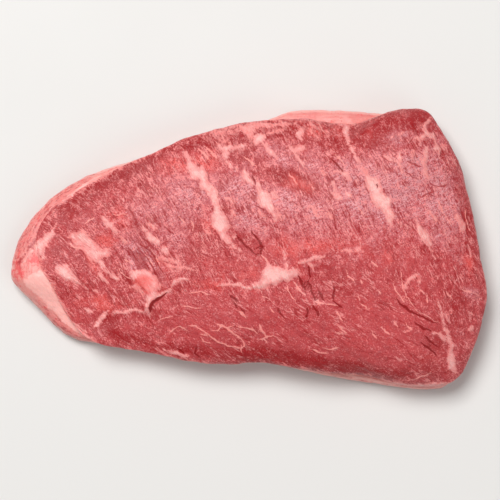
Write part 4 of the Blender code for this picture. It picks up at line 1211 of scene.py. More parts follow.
def lean_relief(points, marks, sizes):
    """How far the surface of the lean stands proud of its plain form, in millimetres."""
    lumps = sizes.lump_height / MM * cloud(points, LUMP_SIZE, seed=3, octaves=2)
    dimples = sizes.dimple_height / MM * cloud(points, DIMPLE_SIZE, seed=4, octaves=2)
    steep, flat = (cloud(marks[along], BUNDLE_SIZE, seed=5, octaves=2) for along in GRAINS)
    bundles = sizes.fibre_height / MM * (steep + (flat - steep) * marks["trimmed"])
    lines = bundles + wrinkles(points, marks["grain"])
    fat = eased(np.maximum(marks["white_fat"], marks["pink_fat"]), *STREAK_EDGE)
    raised = raised_forms(*points[:, :2].T)
    streaks = sizes.streak_height / MM * fat
    veins = sizes.vein_height / MM * eased(marks["veins"], *VEIN_EDGE)
    cracks = sizes.crack_depth / MM * eased(marks["cracks"], *CRACK_EDGE)
    furrows = sizes.furrow_depth / MM * eased(marks["furrows"], *CRACK_EDGE)
    smoothed = lines * (1 - STREAK_SMOOTHNESS * fat)
    return lumps + dimples + smoothed + raised + streaks + veins - cracks - furrows


def fat_relief(points, sizes):
    """How far the fat's edge stands proud of its plain form, in millimetres."""
    lumps = sizes.lump_height / MM * cloud(points, FAT_LUMP_SIZE, seed=6, octaves=2)
    return lumps + sizes.dimple_height / MM * cloud(points, FAT_DIMPLE_SIZE, seed=7, octaves=2)


def underside_hollows(points, sizes):
    """How far the foot of the fat is hollowed upwards, in millimetres."""
    hollows = np.clip(cloud(points, HOLLOW_SIZE, seed=8) + HOLLOW_SHARE, 0, None)
    return sizes.underside_dimples / MM * hollows * (points[:, 2] < FLAT_FOOT)


# ---- building


def place(verts, xyz):
    """Moves the points to the rows of x, y, z, in millimetres."""
    for vert, where in zip(verts, xyz * MM):
        vert.co = where


def raised_to(xy, height):
    """Rows of x, y with their heights, as rows of x, y, z."""
    return np.column_stack([xy, height])


def open_edges(mesh):
    """The edges that only one face has."""
    return [edge for edge in mesh.edges if edge.is_boundary]


def next_ring(mesh, rim):
    """Extrudes the open rim once. It returns the new edges, points and their bearings."""
    made = bmesh.ops.extrude_edge_only(mesh, edges=rim)["geom"]
    verts = [item for item in made if isinstance(item, bmesh.types.BMVert)]
    edges = [item for item in made if isinstance(item, bmesh.types.BMEdge) and item.is_boundary]
    xy = np.array([vert.co[:2] for vert in verts]) / MM
    return edges, verts, bearing_and_reach(xy)[0]


def quarter_turns(layers):
    """The angles of the layers, up to a quarter turn."""
    return [math.pi / 2 * layer / layers for layer in range(1, layers + 1)]


def close_with_grid(mesh, rim, cells, outer_ring, place_ring):
    """Closes the open rim with a round grid, which place_ring sets in place."""
    verts, bearing, ring = round_grid(mesh, cells)
    place_ring(verts, bearing, ring * outer_ring)
    inner = {edge for vert in verts for edge in vert.link_edges if edge.is_boundary}
    bmesh.ops.bridge_loops(mesh, edges=[*rim, *inner])


def points_of(mesh):
    """The mesh's points in millimetres, their normals and their bearings."""
    mesh.normal_update()
    points = np.array([vert.co[:] for vert in mesh.verts]) / MM
    normals = np.array([vert.normal[:] for vert in mesh.verts])
    return points, normals, bearing_and_reach(points[:, :2])[0]


def new_object(name, data):
    """An object that holds the data, in the scene."""
    made = bpy.data.objects.new(name, data)
    bpy.context.scene.collection.objects.link(made)
    return made


def mesh_object(name, mesh, material):
    """An object of the finished mesh and its material."""
    data = bpy.data.meshes.new(name)
    mesh.to_mesh(data)
    mesh.free()
    data.materials.append(material)
    return new_object(name, data)


def finished(name, mesh, marks, material):
    """Makes the piece, stores the marks for its material and lets it ride on the body."""
    piece = mesh_object(name, mesh, material)
    piece.data.shade_smooth()
    for mark, values in marks.items():
        kind, field = ("FLOAT_VECTOR", "vector") if values.ndim == 2 else ("FLOAT", "value")
        stored = piece.data.attributes.new(mark, kind, "POINT")
        stored.data.foreach_set(field, values.astype(np.float32).ravel())
    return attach(piece, "root")


def lean_form(sizes):
    """The muscle's plain form: a domed top, a side that tucks in below its widest line, a dished base."""
    mesh = bmesh.new()
    verts, bearing, grid_ring = round_grid(mesh, sizes.top_cells)
    ring = 1 - (1 - grid_ring) ** RIM_CROWDING
    xy = CENTRE + (edge_point(LEAN_REACH, bearing) - CENTRE) * ring[:, None]
    shoulder = seam_height(bearing) + wall_height(bearing)
    crown = np.maximum(crown_height(*xy.T), shoulder)
    dome = (1 - ring**SLOPE_POWER) ** SHOULDER_POWER
    place(verts, raised_to(xy, shoulder + (crown - shoulder) * dome))

    rim = open_edges(mesh)
    for angle in quarter_turns(sizes.side_layers):
        rim, verts, bearing = next_ring(mesh, rim)
        drawn_in = tuck(bearing) * (1 - math.cos(angle))
        xy = edge_point(LEAN_REACH, bearing) + inward(bearing) * drawn_in[:, None]
        drop = (wall_height(bearing) - CONTACT_GAP) * math.sin(angle)
        place(verts, raised_to(xy, seam_height(bearing) + wall_height(bearing) - drop))

    def on_the_dish(verts, bearing, ring):
        xy, height = dish(bearing, ring)
        place(verts, raised_to(xy, height + CONTACT_GAP))

    close_with_grid(mesh, rim, HIDDEN_CELLS, HIDDEN_RING, on_the_dish)
    bmesh.ops.recalc_face_normals(mesh, faces=mesh.faces[:])
    return mesh


def build_lean(sizes, colours):
    """The muscle with its relief and its marks."""
    mesh = lean_form(sizes)
    points, normals, bearing = points_of(mesh)
    x, y, z = points.T
    marks = read_marks(points, (*MUSCLE_MARKS, "meat"))
    marks["grain"] = grain_of(points, steep_grain(x))
    marks["flat_grain"] = grain_of(points, FLAT_GRAIN)
    marks["trimmed"] = trimmed_share(x, y)
    # Where the skin is wrinkled; the muscle paints shade along its folds there.
    marks["wrinkled"] = patched(x, y, WRINKLES) / FULL_WRINKLE
    marks["fringe"] = fringe_depth(points, bearing, marks.pop("meat"))
    lift = lean_relief(points, marks, sizes) * eased(z - seam_height(bearing), *LEAN_SEAM_FADE)
    place(mesh.verts, points + normals * lift[:, None])
    return finished("beef_lean", mesh, marks, raw_muscle(colours))


def fat_cap_form(sizes):
    """The fat's plain form: a dished slab whose edge slopes out from the seam and rounds over below."""
    mesh = bmesh.new()
    bmesh.ops.create_circle(mesh, segments=4 * sizes.top_cells, radius=1)
    seam_ring = mesh.edges[:]
    bearing = np.array([math.atan2(vert.co.y, vert.co.x) for vert in mesh.verts])
    place(mesh.verts, raised_to(seam_point(bearing), seam_height(bearing)))

    rim = seam_ring
    for angle in quarter_turns(sizes.band_layers):
        rim, verts, bearing = next_ring(mesh, rim)
        seam = seam_point(bearing)
        out = (edge_point(FAT_REACH, bearing) - seam) * math.sin(angle)
        fall = 1 - (1 - FAT_WIDEST_SHARE) * (1 - math.cos(angle))
        place(verts, raised_to(seam + out, seam_height(bearing) * fall))
    for angle in quarter_turns(FOOT_LAYERS):
        rim, verts, bearing = next_ring(mesh, rim)
        drawn_in = inward(bearing) * FAT_FOOT_TUCK * (1 - math.cos(angle))
        height = seam_height(bearing) * FAT_WIDEST_SHARE * (1 - math.sin(angle))
        place(verts, raised_to(edge_point(FAT_REACH, bearing) + drawn_in, height))

    def on_the_table(verts, bearing, ring):
        foot = edge_point(FAT_REACH, bearing) + inward(bearing) * FAT_FOOT_TUCK
        place(verts, raised_to(CENTRE + (foot - CENTRE) * ring[:, None], np.zeros_like(ring)))

    def on_the_dish(verts, bearing, ring):
        place(verts, raised_to(*dish(bearing, ring)))

    close_with_grid(mesh, rim, UNDERSIDE_CELLS, UNDERSIDE_RING, on_the_table)
    close_with_grid(mesh, seam_ring, HIDDEN_CELLS, HIDDEN_RING, on_the_dish)
    bmesh.ops.recalc_face_normals(mesh, faces=mesh.faces[:])
    return mesh


def build_fat_cap(sizes, colours):
    """The fat with its relief, the hollows of its underside and its marks."""
    mesh = fat_cap_form(sizes)
    points, normals, bearing = points_of(mesh)
    over_seam = from_centre(points[:, :2]) - from_centre(seam_point(bearing))
    lift = fat_relief(points, sizes) * eased(over_seam, *FAT_SEAM_FADE)
    moved = points + normals * lift[:, None]
    moved[:, 2] = np.maximum(moved[:, 2], 0) + underside_hollows(points, sizes)
    place(mesh.verts, moved)

    marks = read_marks(points, FAT_MARKS)
    below = points[:, 2] < UNDERSIDE_REACH
    for name, values in marks.items():
        values[below] = absent(name)
    depth = np.linalg.norm(edge_point(FAT_REACH, bearing) - points[:, :2], axis=1)
    around = np.stack([bearing * HALF_WIDTH, depth, points[:, 2]], axis=1)
    # How far each point lies inside the fat's outer edge, where the rim highlight is painted.
    marks["rim"] = depth
    marks["fringe"] = np.where(below, -FARTHEST_MARK, -over_seam)
    marks["grain"] = np.where(below[:, None], grain_of(points, FLAT_GRAIN), around)
    return finished("beef_fat_cap", mesh, marks, raw_fat(colours))


# ---- materials

# The sizes of the patterns in millimetres: one number, or along the fibres, across them and upwards.
# A single fibre is under 0.1 mm wide, too fine to show, so the finest here are about 1 mm wide.
MOTTLE = 12
BLOTCH = 4.2
GRIT = 0.9
FIELD = (26, 9, 20)
BUNDLE = (13, 3.0, 5)
FIBRE = (6.0, 0.95, 2.0)
GRANULE = (2.7, 1.25, 2.0)
HATCH = (1.0, 6.0, 2.0)
THREAD = (17, 3.0, 6)
SPLIT = (14, 3.6, 6)
FOLD = (22, 3.4, 8)
FAT_BLUSH = 18
FAT_BLOTCH = 5
FAT_SPECK = 1.5
FAT_LINE = (10, 1.5, 2.5)
FAT_FLECK = (3.4, 1.3, 2.0)
PAINT_CLOUD = 120

# The share of its swing that a noise keeps in the calm patches.
CALM_SWING = 0.42
CALM_FIELD_SWING = 0.7

# How far outside its stroke a thin line ends, and how much sharper than its noise the painted shade of a
# fold is.
LINE_MARGIN = 0.65
FOLD_SHARPNESS = 14.0
NOISE_MIDDLE = 0.5

# Wet flesh: an IOR near that of water, and red light that runs about a millimetre into the meat.
WET_MEAT = {
    "IOR": 1.38,
    "Subsurface Weight": 0.3,
    "Subsurface Radius": (1.0, 0.25, 0.2),
    "Subsurface Scale": 1.2 * MM,
}
# Solid fat: an IOR like that of wax. Green and blue light runs deeper than in muscle.
WAXY_FAT = {
    "Roughness": 0.42,
    "IOR": 1.45,
    "Subsurface Weight": 0.35,
    "Subsurface Radius": (1.0, 0.5, 0.4),
    "Subsurface Scale": 1.2 * MM,
}


def linear(hex_colour):
    """The linear colour, with alpha, of an sRGB hex value."""
    channels = [int(hex_colour[i : i + 2], 16) / 255 for i in (0, 2, 4)]
    return (*((c / 12.92 if c <= 0.04045 else ((c + 0.055) / 1.055) ** 2.4) for c in channels), 1.0)


def feed(tree, node, inputs):
    """Gives each named or numbered input of the node its value or link."""
    for socket, value in inputs.items():
        if isinstance(value, bpy.types.NodeSocket):
            tree.links.new(value, node.inputs[socket])
        else:
            node.inputs[socket].default_value = value


def add(tree, kind, inputs=None, **options):
    """Adds a node with its options, and feeds its inputs."""
    node = tree.nodes.new(kind)
    for option, value in options.items():
        setattr(node, option, value)
    feed(tree, node, inputs or {})
    return node


def new_material(name, marks=()):
    """A material, its node tree, the coordinates of its object and the marks that its mesh stores."""
    material = bpy.data.materials.new(name)
    material.use_nodes = True
    tree = material.node_tree
    where = add(tree, "ShaderNodeTexCoord").outputs["Object"]
    mark = {}
    for stored in marks:
        output = "Vector" if stored in GRAINS else "Fac"
        mark[stored] = add(tree, "ShaderNodeAttribute", attribute_name=stored).outputs[output]
    return material, tree, where, mark


def cube(size):
    """A pattern size in metres, the same in all directions, for the object's own coordinates."""
    return (size * MM,) * 3


def pattern(tree, where, size, detail=3.0, roughness=0.6, distortion=0.0):
    """Noise whose lumps measure size, in the units of the coordinates."""
    scaled = add(tree, "ShaderNodeMapping", {"Vector": where, "Scale": [1 / length for length in size]})
    settings = {
        "Vector": scaled.outputs[0],
        "Scale": 1.0,
        "Detail": detail,
        "Roughness": roughness,
        "Distortion": distortion,
    }
    return add(tree, "ShaderNodeTexNoise", settings).outputs[0]


def from_middle(tree, uneven):
    """How far the noise is above its middle."""
    return add(tree, "ShaderNodeMath", {0: uneven, 1: NOISE_MIDDLE}, operation="SUBTRACT").outputs[0]


def frayed(tree, mark, frays):
    """The mark, made uneven by each noise in turn, times its amount."""
    for uneven, amount in frays:
        settings = {0: from_middle(tree, uneven), 1: amount, 2: mark}
        mark = add(tree, "ShaderNodeMath", settings, operation="MULTIPLY_ADD").outputs[0]
    return mark


def layered(tree, colour, layers):
    """Lays tints over the colour. A layer is its mark, what frays it, low, high, most and tint."""
    for mark, frays, low, high, most, tint in layers:
        settings = {"Value": frayed(tree, mark, frays), "From Min": low, "From Max": high, "To Max": most}
        weight = add(tree, "ShaderNodeMapRange", settings, interpolation_type="SMOOTHSTEP")
        mixed = {0: weight.outputs[0], 6: colour, 7: tint}
        colour = add(tree, "ShaderNodeMix", mixed, data_type="RGBA").outputs[2]
    return colour


def quieter(tree, uneven, calm, least):
    """The noise drawn towards its middle, down to the least share of its swing where calm is 1."""
    settings = {"Value": calm, "From Max": 1.0, "To Min": 1.0, "To Max": least}
    busy = add(tree, "ShaderNodeMapRange", settings).outputs[0]
    settings = {0: from_middle(tree, uneven), 1: busy, 2: NOISE_MIDDLE}
    return add(tree, "ShaderNodeMath", settings, operation="MULTIPLY_ADD").outputs[0]


def bumped(tree, layers):
    """The normal over layers of fine relief, each its noise, strength and height in millimetres."""
    normal = None
    for height, strength, distance in layers:
        settings = {"Height": height, "Strength": strength, "Distance": distance * MM}
        if normal:
            settings["Normal"] = normal
        normal = add(tree, "ShaderNodeBump", settings).outputs[0]
    return normal


def thin_mark(tree, mark, line, depth):
    """1 in the middle of a thin stroke, 0 at its edge and below 0 outside it or beyond the margin."""
    away = add(tree, "ShaderNodeMath", {0: mark[line]}, operation="ABSOLUTE").outputs[0]
    inside = add(tree, "ShaderNodeMath", {0: 1.0, 1: away}, operation="SUBTRACT").outputs[0]
    near = add(tree, "ShaderNodeMath", {0: mark[depth], 1: LINE_MARGIN}, operation="ADD").outputs[0]
    return add(tree, "ShaderNodeMath", {0: inside, 1: near}, operation="MINIMUM").outputs[0]


def line_of(tree, uneven):
    """0 along the winding lines where the noise is even, and more beside them."""
    return add(tree, "ShaderNodeMath", {0: from_middle(tree, uneven)}, operation="ABSOLUTE").outputs[0]


def raw_muscle(colours):
    """Raw beef muscle, cut and skinned: wet red meat with a satin gloss.

    The eye sees soft red mottling, fine fibres in two directions, a thin greyish pink silverskin
    over the upper face with a painted lilac sheen and glints, pale streaks of fat with frayed edges,
    dark cracks, and painted shade in the cracks, folds and grooves and along the falling edges.
    """
    marks = (*MUSCLE_MARKS, "fringe", "wrinkled", "trimmed", *GRAINS)
    material, tree, where, mark = new_material("raw_beef_muscle", marks)
    grain, calm = mark["grain"], mark["calm"]

    def fibrous(size, **settings):
        """A pattern along the fibres, which turn in the trimmed face."""
        steep, flat = (pattern(tree, mark[along], size, **settings) for along in GRAINS)
        mixed = {0: mark["trimmed"], 2: steep, 3: flat}
        return add(tree, "ShaderNodeMix", mixed, data_type="FLOAT").outputs[0]

    mottle = pattern(tree, where, cube(MOTTLE), detail=4)
    blotch = pattern(tree, where, cube(BLOTCH))
    grit = pattern(tree, where, cube(GRIT), detail=1, roughness=0.7)
    field = fibrous(FIELD, detail=4)
    bundle = fibrous(BUNDLE)
    fibre = fibrous(FIBRE, roughness=0.75)
    granule = pattern(tree, grain, GRANULE, detail=2, roughness=0.7)
    hatch = pattern(tree, grain, HATCH, detail=2, roughness=0.7)
    calm_granule, calm_fibre, calm_blotch = (
        quieter(tree, uneven, calm, CALM_SWING) for uneven in (granule, fibre, blotch)
    )
    calm_grit, calm_field = (quieter(tree, uneven, calm, CALM_FIELD_SWING) for uneven in (grit, field))
    thread = line_of(tree, fibrous(THREAD, detail=2, distortion=0.4))
    split = line_of(tree, fibrous(SPLIT, detail=2, roughness=0.5, distortion=0.4))
    fold = line_of(tree, pattern(tree, grain, FOLD, detail=1, roughness=0.5, distortion=0.3))
    # Dark lines along the folds where the skin is wrinkled: painted shade in their grooves.
    settings = {0: fold, 1: -FOLD_SHARPNESS, 2: mark["wrinkled"]}
    painted_fold_shade = add(tree, "ShaderNodeMath", settings, operation="MULTIPLY_ADD").outputs[0]
    vein = thin_mark(tree, mark, "vein_line", "veins")
    crack_and_shade = thin_mark(tree, mark, "crack_line", "cracks")
    furrow = thin_mark(tree, mark, "furrow_line", "furrows")

    skin, deep, strands = mark["skin"], mark["deep"], mark["strands"]
    pink, white = mark["pink_fat"], mark["white_fat"]
    skin_grain = ((granule, 1.5), (grit, 1.8))
    meat = (
        (mottle, ((blotch, 0.3),), 0.50, 0.66, 0.7, colours.dark_muscle),
        (calm_field, ((mottle, 0.4),), 0.52, 0.68, 0.8, colours.bright_muscle),
        (calm_field, ((mottle, 0.4),), 0.46, 0.32, 0.6, colours.dark_muscle),
        # The deep patches: darker red of the meat, and painted shade along the edges, over the roll and in
        # grooves.
        (deep, ((mottle, 1.2), (field, 2.6)), 0.1, 1.0, 0.9, colours.deep_muscle_and_shade),
        (mark["bloom"], ((mottle, 2.0), (field, 1.0)), 0.1, 1.0, 0.85, colours.bloom),
        (calm_blotch, ((calm_fibre, 0.8),), 0.55, 0.78, 0.16, colours.pale_fibre),
        (calm_blotch, ((calm_fibre, 0.8),), 0.45, 0.22, 0.2, colours.deep_muscle_and_shade),
    )
    # The silverskin: the membrane's own greyish pink tinted lilac as a painted sheen, then painted glints
    # and the painted shade between them in a fine cross-hatch.
    silverskin = (
        (skin, ((mottle, 2.0), (blotch, 1.2), (granule, 0.8)), 0.1, 0.9, 0.8, colours.silverskin),
        (skin, (*skin_grain, (hatch, 3.0), (mottle, 2.0)), 0.9, 1.6, 0.6, colours.painted_skin_glints),
        (skin, (*skin_grain, (hatch, -3.0), (mottle, -2.0)), 0.9, 1.6, 0.35, colours.skin_shade),
    )
    fibres = (
        (strands, ((bundle, 5.0), (fibre, 2.5)), 1.15, 1.6, 0.8, colours.streak_fat),
        (calm_fibre, ((calm_granule, 0.4), (calm_blotch, 0.8)), 0.54, 0.72, 0.6, colours.pale_fibre),
        (calm_fibre, ((calm_granule, 0.4), (calm_blotch, 0.8)), 0.46, 0.26, 0.55, colours.deep_muscle_and_shade),
        (calm_granule, ((calm_blotch, 0.8), (calm_grit, 1.0)), 0.56, 0.90, 0.5, colours.pale_fibre),
        (calm_granule, ((calm_fibre, 0.8), (calm_grit, 1.0)), 0.44, 0.10, 0.5, colours.deep_muscle_and_shade),
        (calm_grit, ((calm_blotch, 0.8),), 0.53, 0.70, 0.6, colours.pale_fibre),
        (calm_grit, ((calm_fibre, 0.6),), 0.47, 0.30, 0.6, colours.deep_muscle_and_shade),
        (thread, ((mottle, 0.2), (granule, 0.06), (strands, -0.012)), 0.016, 0.0, 0.55, colours.thread),
        (deep, ((mottle, 1.2), (bundle, 2.6)), 0.3, 1.4, 0.4, colours.deep_muscle_and_shade),
    )
    # Dark splits, the painted shade of the folds, the furrows, part of them painted shade, and the pale
    # veins.
    lines = (
        (split, ((mottle, 0.2), (granule, 0.05)), 0.022, 0.0, 0.65, colours.deep_muscle_and_shade),
        (painted_fold_shade, ((granule, 0.6), (blotch, 1.5)), 0.2, 0.9, 0.6, colours.deep_muscle_and_shade),
        (furrow, ((granule, 1.6), (grit, 1.0)), -0.3, 0.5, 0.75, colours.deep_muscle_and_shade),
        (vein, ((granule, 2.0), (blotch, 2.5)), -0.5, 0.5, 0.85, colours.vein),
    )
    fat = (
        (mark["fringe"], ((fibre, 10.0), (bundle, 9.0)), -1.2, 1.2, 0.85, colours.pink_fat),
        (pink, ((fibre, 4.0), (blotch, 5.0)), -1.0, 0.2, 0.3, colours.pink_fat),
        (pink, ((granule, 1.0), (fibre, 5.0), (blotch, 4.0)), -0.4, 0.6, 0.8, colours.pink_fat),
        (pink, ((granule, 5.0), (fibre, 8.0), (blotch, 9.0)), 0.9, 2.6, 0.6, colours.streak_core),
        (mark["bloom"], ((mottle, 2.0), (blotch, 1.0)), 0.5, 2.2, 0.7, colours.bloom),
        (white, ((fibre, 3.0), (blotch, 4.0)), -1.0, 0.2, 0.4, colours.pink_fat),
        (white, ((granule, 1.5), (fibre, 3.0), (blotch, 2.5)), -0.25, 0.4, 0.9, colours.streak_fat),
        (white, ((granule, 2.0), (fibre, 4.0), (blotch, 6.0)), 0.2, 2.0, 0.85, colours.streak_core),
        (white, ((granule, 4.0), (fibre, 7.0), (blotch, 9.0)), 1.2, 4.0, 0.6, colours.streak_light),
    )
    # The cracks: the meat's dark red in them, deepened as painted shade, since the carved cracks are too
    # shallow to shade themselves.
    cracks = (
        (mark["cracks"], ((granule, 2.0),), -0.9, 0.2, 0.3, colours.deep_muscle_and_shade),
        (crack_and_shade, ((granule, 1.0), (grit, 0.6)), -0.7, 0.1, 0.95, colours.crack_and_shade),
    )
    colour = layered(tree, colours.muscle, (*meat, *silverskin, *fibres, *lines, *fat, *cracks))
    settings = {"Value": blotch, "From Min": 0.3, "From Max": 0.7, "To Min": 0.3, "To Max": 0.5}
    rough = add(tree, "ShaderNodeMapRange", settings).outputs[0]
    relief = ((bundle, 0.6, 0.8), (calm_fibre, 0.7, 0.6), (calm_granule, 0.8, 0.7), (grit, 0.6, 0.4))
    varied = {"Base Color": colour, "Roughness": rough, "Normal": bumped(tree, relief)}
    feed(tree, tree.nodes["Principled BSDF"], WET_MEAT | varied)
    return material


def raw_fat(colours):
    """Raw beef fat, cut: firm, smooth and slightly translucent, pale with pink blushes.

    The eye sees a waxy satin surface, whiter and pinker fields, fine lines along the cut edge and a
    few spots of blood.
    """
    material, tree, where, mark = new_material("raw_beef_fat", (*FAT_MARKS, "fringe", "rim", "grain"))
    blush = pattern(tree, where, cube(FAT_BLUSH))
    blotch = pattern(tree, where, cube(FAT_BLOTCH))
    speck = pattern(tree, where, cube(FAT_SPECK), detail=2, roughness=0.7)
    lines = pattern(tree, mark["grain"], FAT_LINE)
    fleck = pattern(tree, mark["grain"], FAT_FLECK, detail=2)
    crack_and_shade = thin_mark(tree, mark, "crack_line", "cracks")
    furrow = thin_mark(tree, mark, "furrow_line", "furrows")
    fat = (
        (blush, ((blotch, 0.5),), 0.48, 0.68, 0.8, colours.fat_blush),
        (blotch, ((lines, 0.5),), 0.52, 0.75, 0.6, colours.white_fat),
        (lines, ((speck, 0.4),), 0.50, 0.30, 0.6, colours.fat_blush),
        (speck, ((lines, 0.4),), 0.52, 0.78, 0.4, colours.white_fat),
        # Whiter along the fat's outer edge: a painted rim highlight.
        (mark["rim"], ((lines, 3.0), (speck, 2.0)), 2.2, 0.6, 0.7, colours.white_fat),
    )
    blood_and_meat = (
        (mark["flecks"], ((lines, 3.0), (blotch, 2.0)), 0.2, 1.0, 0.75, colours.fat_blush),
        (mark["flecks"], ((fleck, 5.0), (speck, 2.5)), 0.8, 1.7, 0.7, colours.meat_fleck),
        (mark["bloom"], ((blotch, 3.5), (speck, 4.0)), 0.3, 1.4, 0.9, colours.fat_blood),
        (mark["white_fat"], ((speck, 3.0), (blotch, 3.0)), -0.6, 0.9, 0.9, colours.white_fat),
        (mark["fringe"], ((lines, 5.0), (speck, 3.0)), -1.0, 0.6, 0.8, colours.meat_fleck),
        (mark["meat"], ((speck, 4.0), (blotch, 4.0)), -0.4, 1.6, 0.9, colours.meat_fleck),
        (furrow, ((speck, 2.5), (blotch, 3.0)), -0.5, 0.8, 0.6, colours.fat_blood),
        (crack_and_shade, ((speck, 1.0),), -0.3, 0.5, 0.85, colours.meat_fleck),
    )
    colour = layered(tree, colours.fat, (*fat, *blood_and_meat))
    relief = ((blotch, 0.5, 1.0), (lines, 0.6, 0.6), (speck, 0.5, 0.4))
    varied = {"Base Color": colour, "Normal": bumped(tree, relief)}
    feed(tree, tree.nodes["Principled BSDF"], WAXY_FAT | varied)
    return material


def pale_floor(colours):
    """A matt, painted board. The eye sees a plain pale ground with the faintest unevenness."""
    material, tree, where, _ = new_material("matt_painted_board")
    cloudy = pattern(tree, where, cube(PAINT_CLOUD), detail=2)
    settings = {"Value": cloudy, "From Min": 0.2, "From Max": 0.8, "To Min": 0.55, "To Max": 0.7}
    rough = add(tree, "ShaderNodeMapRange", settings).outputs[0]
    feed(tree, tree.nodes["Principled BSDF"], {"Base Color": colours.floor, "Roughness": rough})
    return material


# ---- properties


def count_property(name, description, default, least):
    return IntProperty(name=name, description=description, default=default, min=least)


def length_property(name, description, millimetres):
    return FloatProperty(
        name=name, description=description, default=millimetres * MM, min=0, unit="LENGTH", precision=5
    )


def power_property(name, description, watts):
    return FloatProperty(name=name, description=description, default=watts, min=0, unit="POWER")


def colour_property(name, description, hex_colour):
    return FloatVectorProperty(
        name=name, description=description, default=linear(hex_colour), size=4, min=0, max=1, subtype="COLOR"
    )


class PicanhaSizes(bpy.types.PropertyGroup):
    """The sizes of the meat's surface."""

    top_cells: count_property("Top Cells", "Rows of faces across the top", 276, 16)
    side_layers: count_property("Side Layers", "Rows of faces down the lean's side", 16, 2)
    band_layers: count_property("Band Layers", "Rows of faces across the fat's band", 26, 2)
    lump_height: length_property("Lump Height", "Height of the large lumps", 0.7)
    dimple_height: length_property("Dimple Height", "Height of the small lumps", 0.28)
    fibre_height: length_property("Fibre Height", "Height of the bundles of fibres", 0.3)
    streak_height: length_property("Streak Height", "How far the streaks of fat stand proud", 0.35)
    vein_height: length_property("Vein Height", "How far the veins stand proud", 0.25)
    crack_depth: length_property("Crack Depth", "Depth of the cracks", 0.2)
    furrow_depth: length_property("Furrow Depth", "Depth of the fine furrows", 0.12)
    underside_dimples: length_property("Underside Dimples", "Depth of the hollows in the underside", 1.0)


class PicanhaColours(bpy.types.PropertyGroup):
    """The colours of the meat and the floor."""

    muscle: colour_property("Muscle", "Freshly cut muscle", "BE494C")
    dark_muscle: colour_property("Dark Muscle", "Darker fields between the bundles", "A32F33")
    bright_muscle: colour_property("Bright Muscle", "Brighter fields of the muscle", "D4585A")
    # Darker red of the muscle, also laid as painted shade along the falling edges, over the roll and in
    # grooves, folds and cracks.
    deep_muscle_and_shade: colour_property("Deep Muscle And Shade", "The darkest muscle, in hollows and rolls", "9C151B")
    bloom: colour_property("Bloom", "Muscle that has reddened in the air", "E05853")
    # The membrane's own colour, tinted lilac as a painted sheen.
    silverskin: colour_property("Silverskin", "Thin membrane over the muscle", "D07479")
    # Painted glints on the wet membrane.
    painted_skin_glints: colour_property("Painted Skin Glints", "The palest specks of the membrane", "EDAFB4")
    # Painted shade between the painted glints of the membrane.
    skin_shade: colour_property("Skin Shade", "Meat that shows darker through the membrane", "B2505A")
    pale_fibre: colour_property("Pale Fibre", "Light fibres and specks", "EC8C8A")
    vein: colour_property("Vein", "Thin veins in the cut face", "EE948D")
    pink_fat: colour_property("Pink Fat", "Fat with some blood in it", "EA8A86")
    white_fat: colour_property("White Fat", "The palest fat of the cap", "F5B4AC")
    streak_fat: colour_property("Streak Fat", "Fat in the streaks of the marbling", "E68E8B")
    streak_core: colour_property("Streak Core", "The pale middle of the streaks", "ECA39E")
    streak_light: colour_property("Streak Light", "The whitest specks of the streaks", "FAC4BE")
    thread: colour_property("Thread", "Pale strands between the bundles", "F09A97")
    fat: colour_property("Fat", "Fat of the cap", "E5958E")
    fat_blush: colour_property("Fat Blush", "Pinker fields of the cap", "DE7A76")
    fat_blood: colour_property("Blood", "Blood in the fat", "DE4F50")
    meat_fleck: colour_property("Meat Fleck", "Flecks of meat in the fat", "AC3438")
    # The meat's dark red in the cracks, deepened as painted shade.
    crack_and_shade: colour_property("Crack And Shade", "The bottom of the cracks", "8A0006")
    floor: colour_property("Floor", "The pale floor", "DAD8D5")


class PicanhaStage(bpy.types.PropertyGroup):
    """The floor, the lights and the camera."""

    floor_size: length_property("Floor Size", "Width of the floor", 6000)
    camera_distance: length_property("Camera Distance", "Height of the camera over the meat", 1333)
    focal_length: FloatProperty(
        name="Focal Length", description="Focal length of the lens", default=150.0, min=1, unit="CAMERA"
    )
    key_power: power_property("Key Power", "Power of the main light", 118.0)
    fill_power: power_property("Fill Power", "Power of the second light", 23.0)
    sky_strength: FloatProperty(
        name="Sky Strength", description="Brightness of the surroundings", default=0.27, min=0
    )


# ---- operators

# Each light: its place and the point it faces, in metres, its width, and the property with its power.
LIGHTS = {
    "key_light": ((-0.9, 1.45, 3.0), (0, 0, 0), 1.6, "key_power"),
    "fill_light": ((1.9, -1.4, 2.2), (0, 0, 0), 2.4, "fill_power"),
}
VIEW_CENTRE = (0.96 * MM, -0.16 * MM)
FOCUS_HEIGHT = 12 * MM
FLOOR_DROP = 0.3 * MM


class PICANHA_OT_lean(bpy.types.Operator):
    """Model the lean muscle with its marbling, silverskin and cracks"""

    bl_idname = "picanha.lean"
    bl_label = "Add Lean"

    def execute(self, context):
        piece = build_lean(context.scene.picanha_sizes, context.scene.picanha_colours)
        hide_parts("lean")
        return {"FINISHED"}


class PICANHA_OT_fat_cap(bpy.types.Operator):
    """Model the cap of fat under the lean"""

    bl_idname = "picanha.fat_cap"
    bl_label = "Add Fat Cap"

    def execute(self, context):
        piece = build_fat_cap(context.scene.picanha_sizes, context.scene.picanha_colours)
        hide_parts("fat_cap")
        return {"FINISHED"}


def aim(thing, spot, target):
    """Puts the thing at its spot and points its -Z axis at the target."""
    thing.location = spot
    thing.rotation_euler = (Vector(target) - Vector(spot)).to_track_quat("-Z", "Y").to_euler()


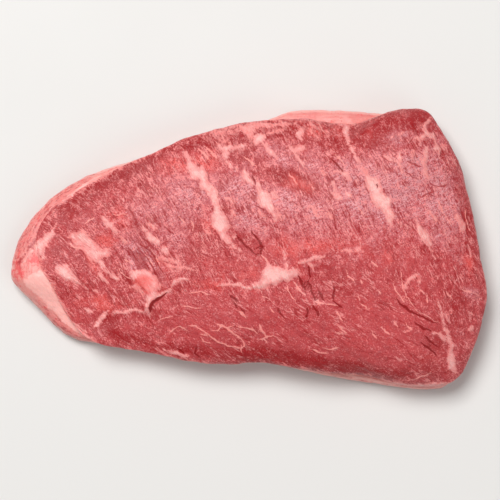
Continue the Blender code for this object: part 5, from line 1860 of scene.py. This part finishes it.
class PICANHA_OT_stage(bpy.types.Operator):
    """Add the pale floor, the soft lights and the camera that looks straight down"""

    bl_idname = "picanha.stage"
    bl_label = "Add Stage"

    def execute(self, context):
        scene = context.scene
        stage = scene.picanha_stage
        mesh = bmesh.new()
        bmesh.ops.create_grid(mesh, x_segments=1, y_segments=1, size=stage.floor_size / 2)
        bmesh.ops.translate(mesh, verts=mesh.verts[:], vec=(0, 0, -FLOOR_DROP))
        floor = mesh_object("floor", mesh, pale_floor(scene.picanha_colours))

        for name, (spot, target, width, power) in LIGHTS.items():
            lamp = bpy.data.lights.new(name, "AREA")
            lamp.size = width
            lamp.energy = getattr(stage, power)
            aim(new_object(name, lamp), spot, target)

        world = bpy.data.worlds.new("soft_studio")
        world.use_nodes = True
        sky = world.node_tree.nodes["Background"]
        sky.inputs["Color"].default_value = (1, 1, 1, 1)
        sky.inputs["Strength"].default_value = stage.sky_strength
        scene.world = world
        scene.view_settings.view_transform = "Standard"

        lens = bpy.data.cameras.new("camera")
        lens.lens = stage.focal_length
        camera = new_object("camera", lens)
        camera.location = (*VIEW_CENTRE, FOCUS_HEIGHT + stage.camera_distance)
        scene.camera = camera
        return {"FINISHED"}


class PICANHA_PT_panel(bpy.types.Panel):
    """The picanha's buttons, sizes and colours"""

    bl_idname = "PICANHA_PT_panel"
    bl_label = "Picanha"
    bl_space_type = "VIEW_3D"
    bl_region_type = "UI"
    bl_category = "Picanha"

    def draw(self, context):
        layout = self.layout
        for operator in OPERATORS:
            layout.operator(operator.bl_idname)
        for group in GROUPS:
            settings = getattr(context.scene, group)
            for name in settings.bl_rna.properties.keys():
                if name not in {"rna_type", "name"}:
                    layout.prop(settings, name)


OPERATORS = (PICANHA_OT_fat_cap, PICANHA_OT_lean, PICANHA_OT_stage)
GROUPS = {
    "picanha_sizes": PicanhaSizes,
    "picanha_colours": PicanhaColours,
    "picanha_stage": PicanhaStage,
}
CLASSES = (*GROUPS.values(), *OPERATORS, PICANHA_PT_panel)


def register():
    for item in CLASSES:
        bpy.utils.register_class(item)
    for name, group in GROUPS.items():
        setattr(bpy.types.Scene, name, PointerProperty(type=group))


def unregister():
    for name in GROUPS:
        delattr(bpy.types.Scene, name)
    for item in reversed(CLASSES):
        bpy.utils.unregister_class(item)


def main():
    """Builds everything."""
    register()
    bpy.ops.picanha.fat_cap()
    bpy.ops.picanha.lean()
    bpy.ops.picanha.stage()


if __name__ == "__main__":
    main()
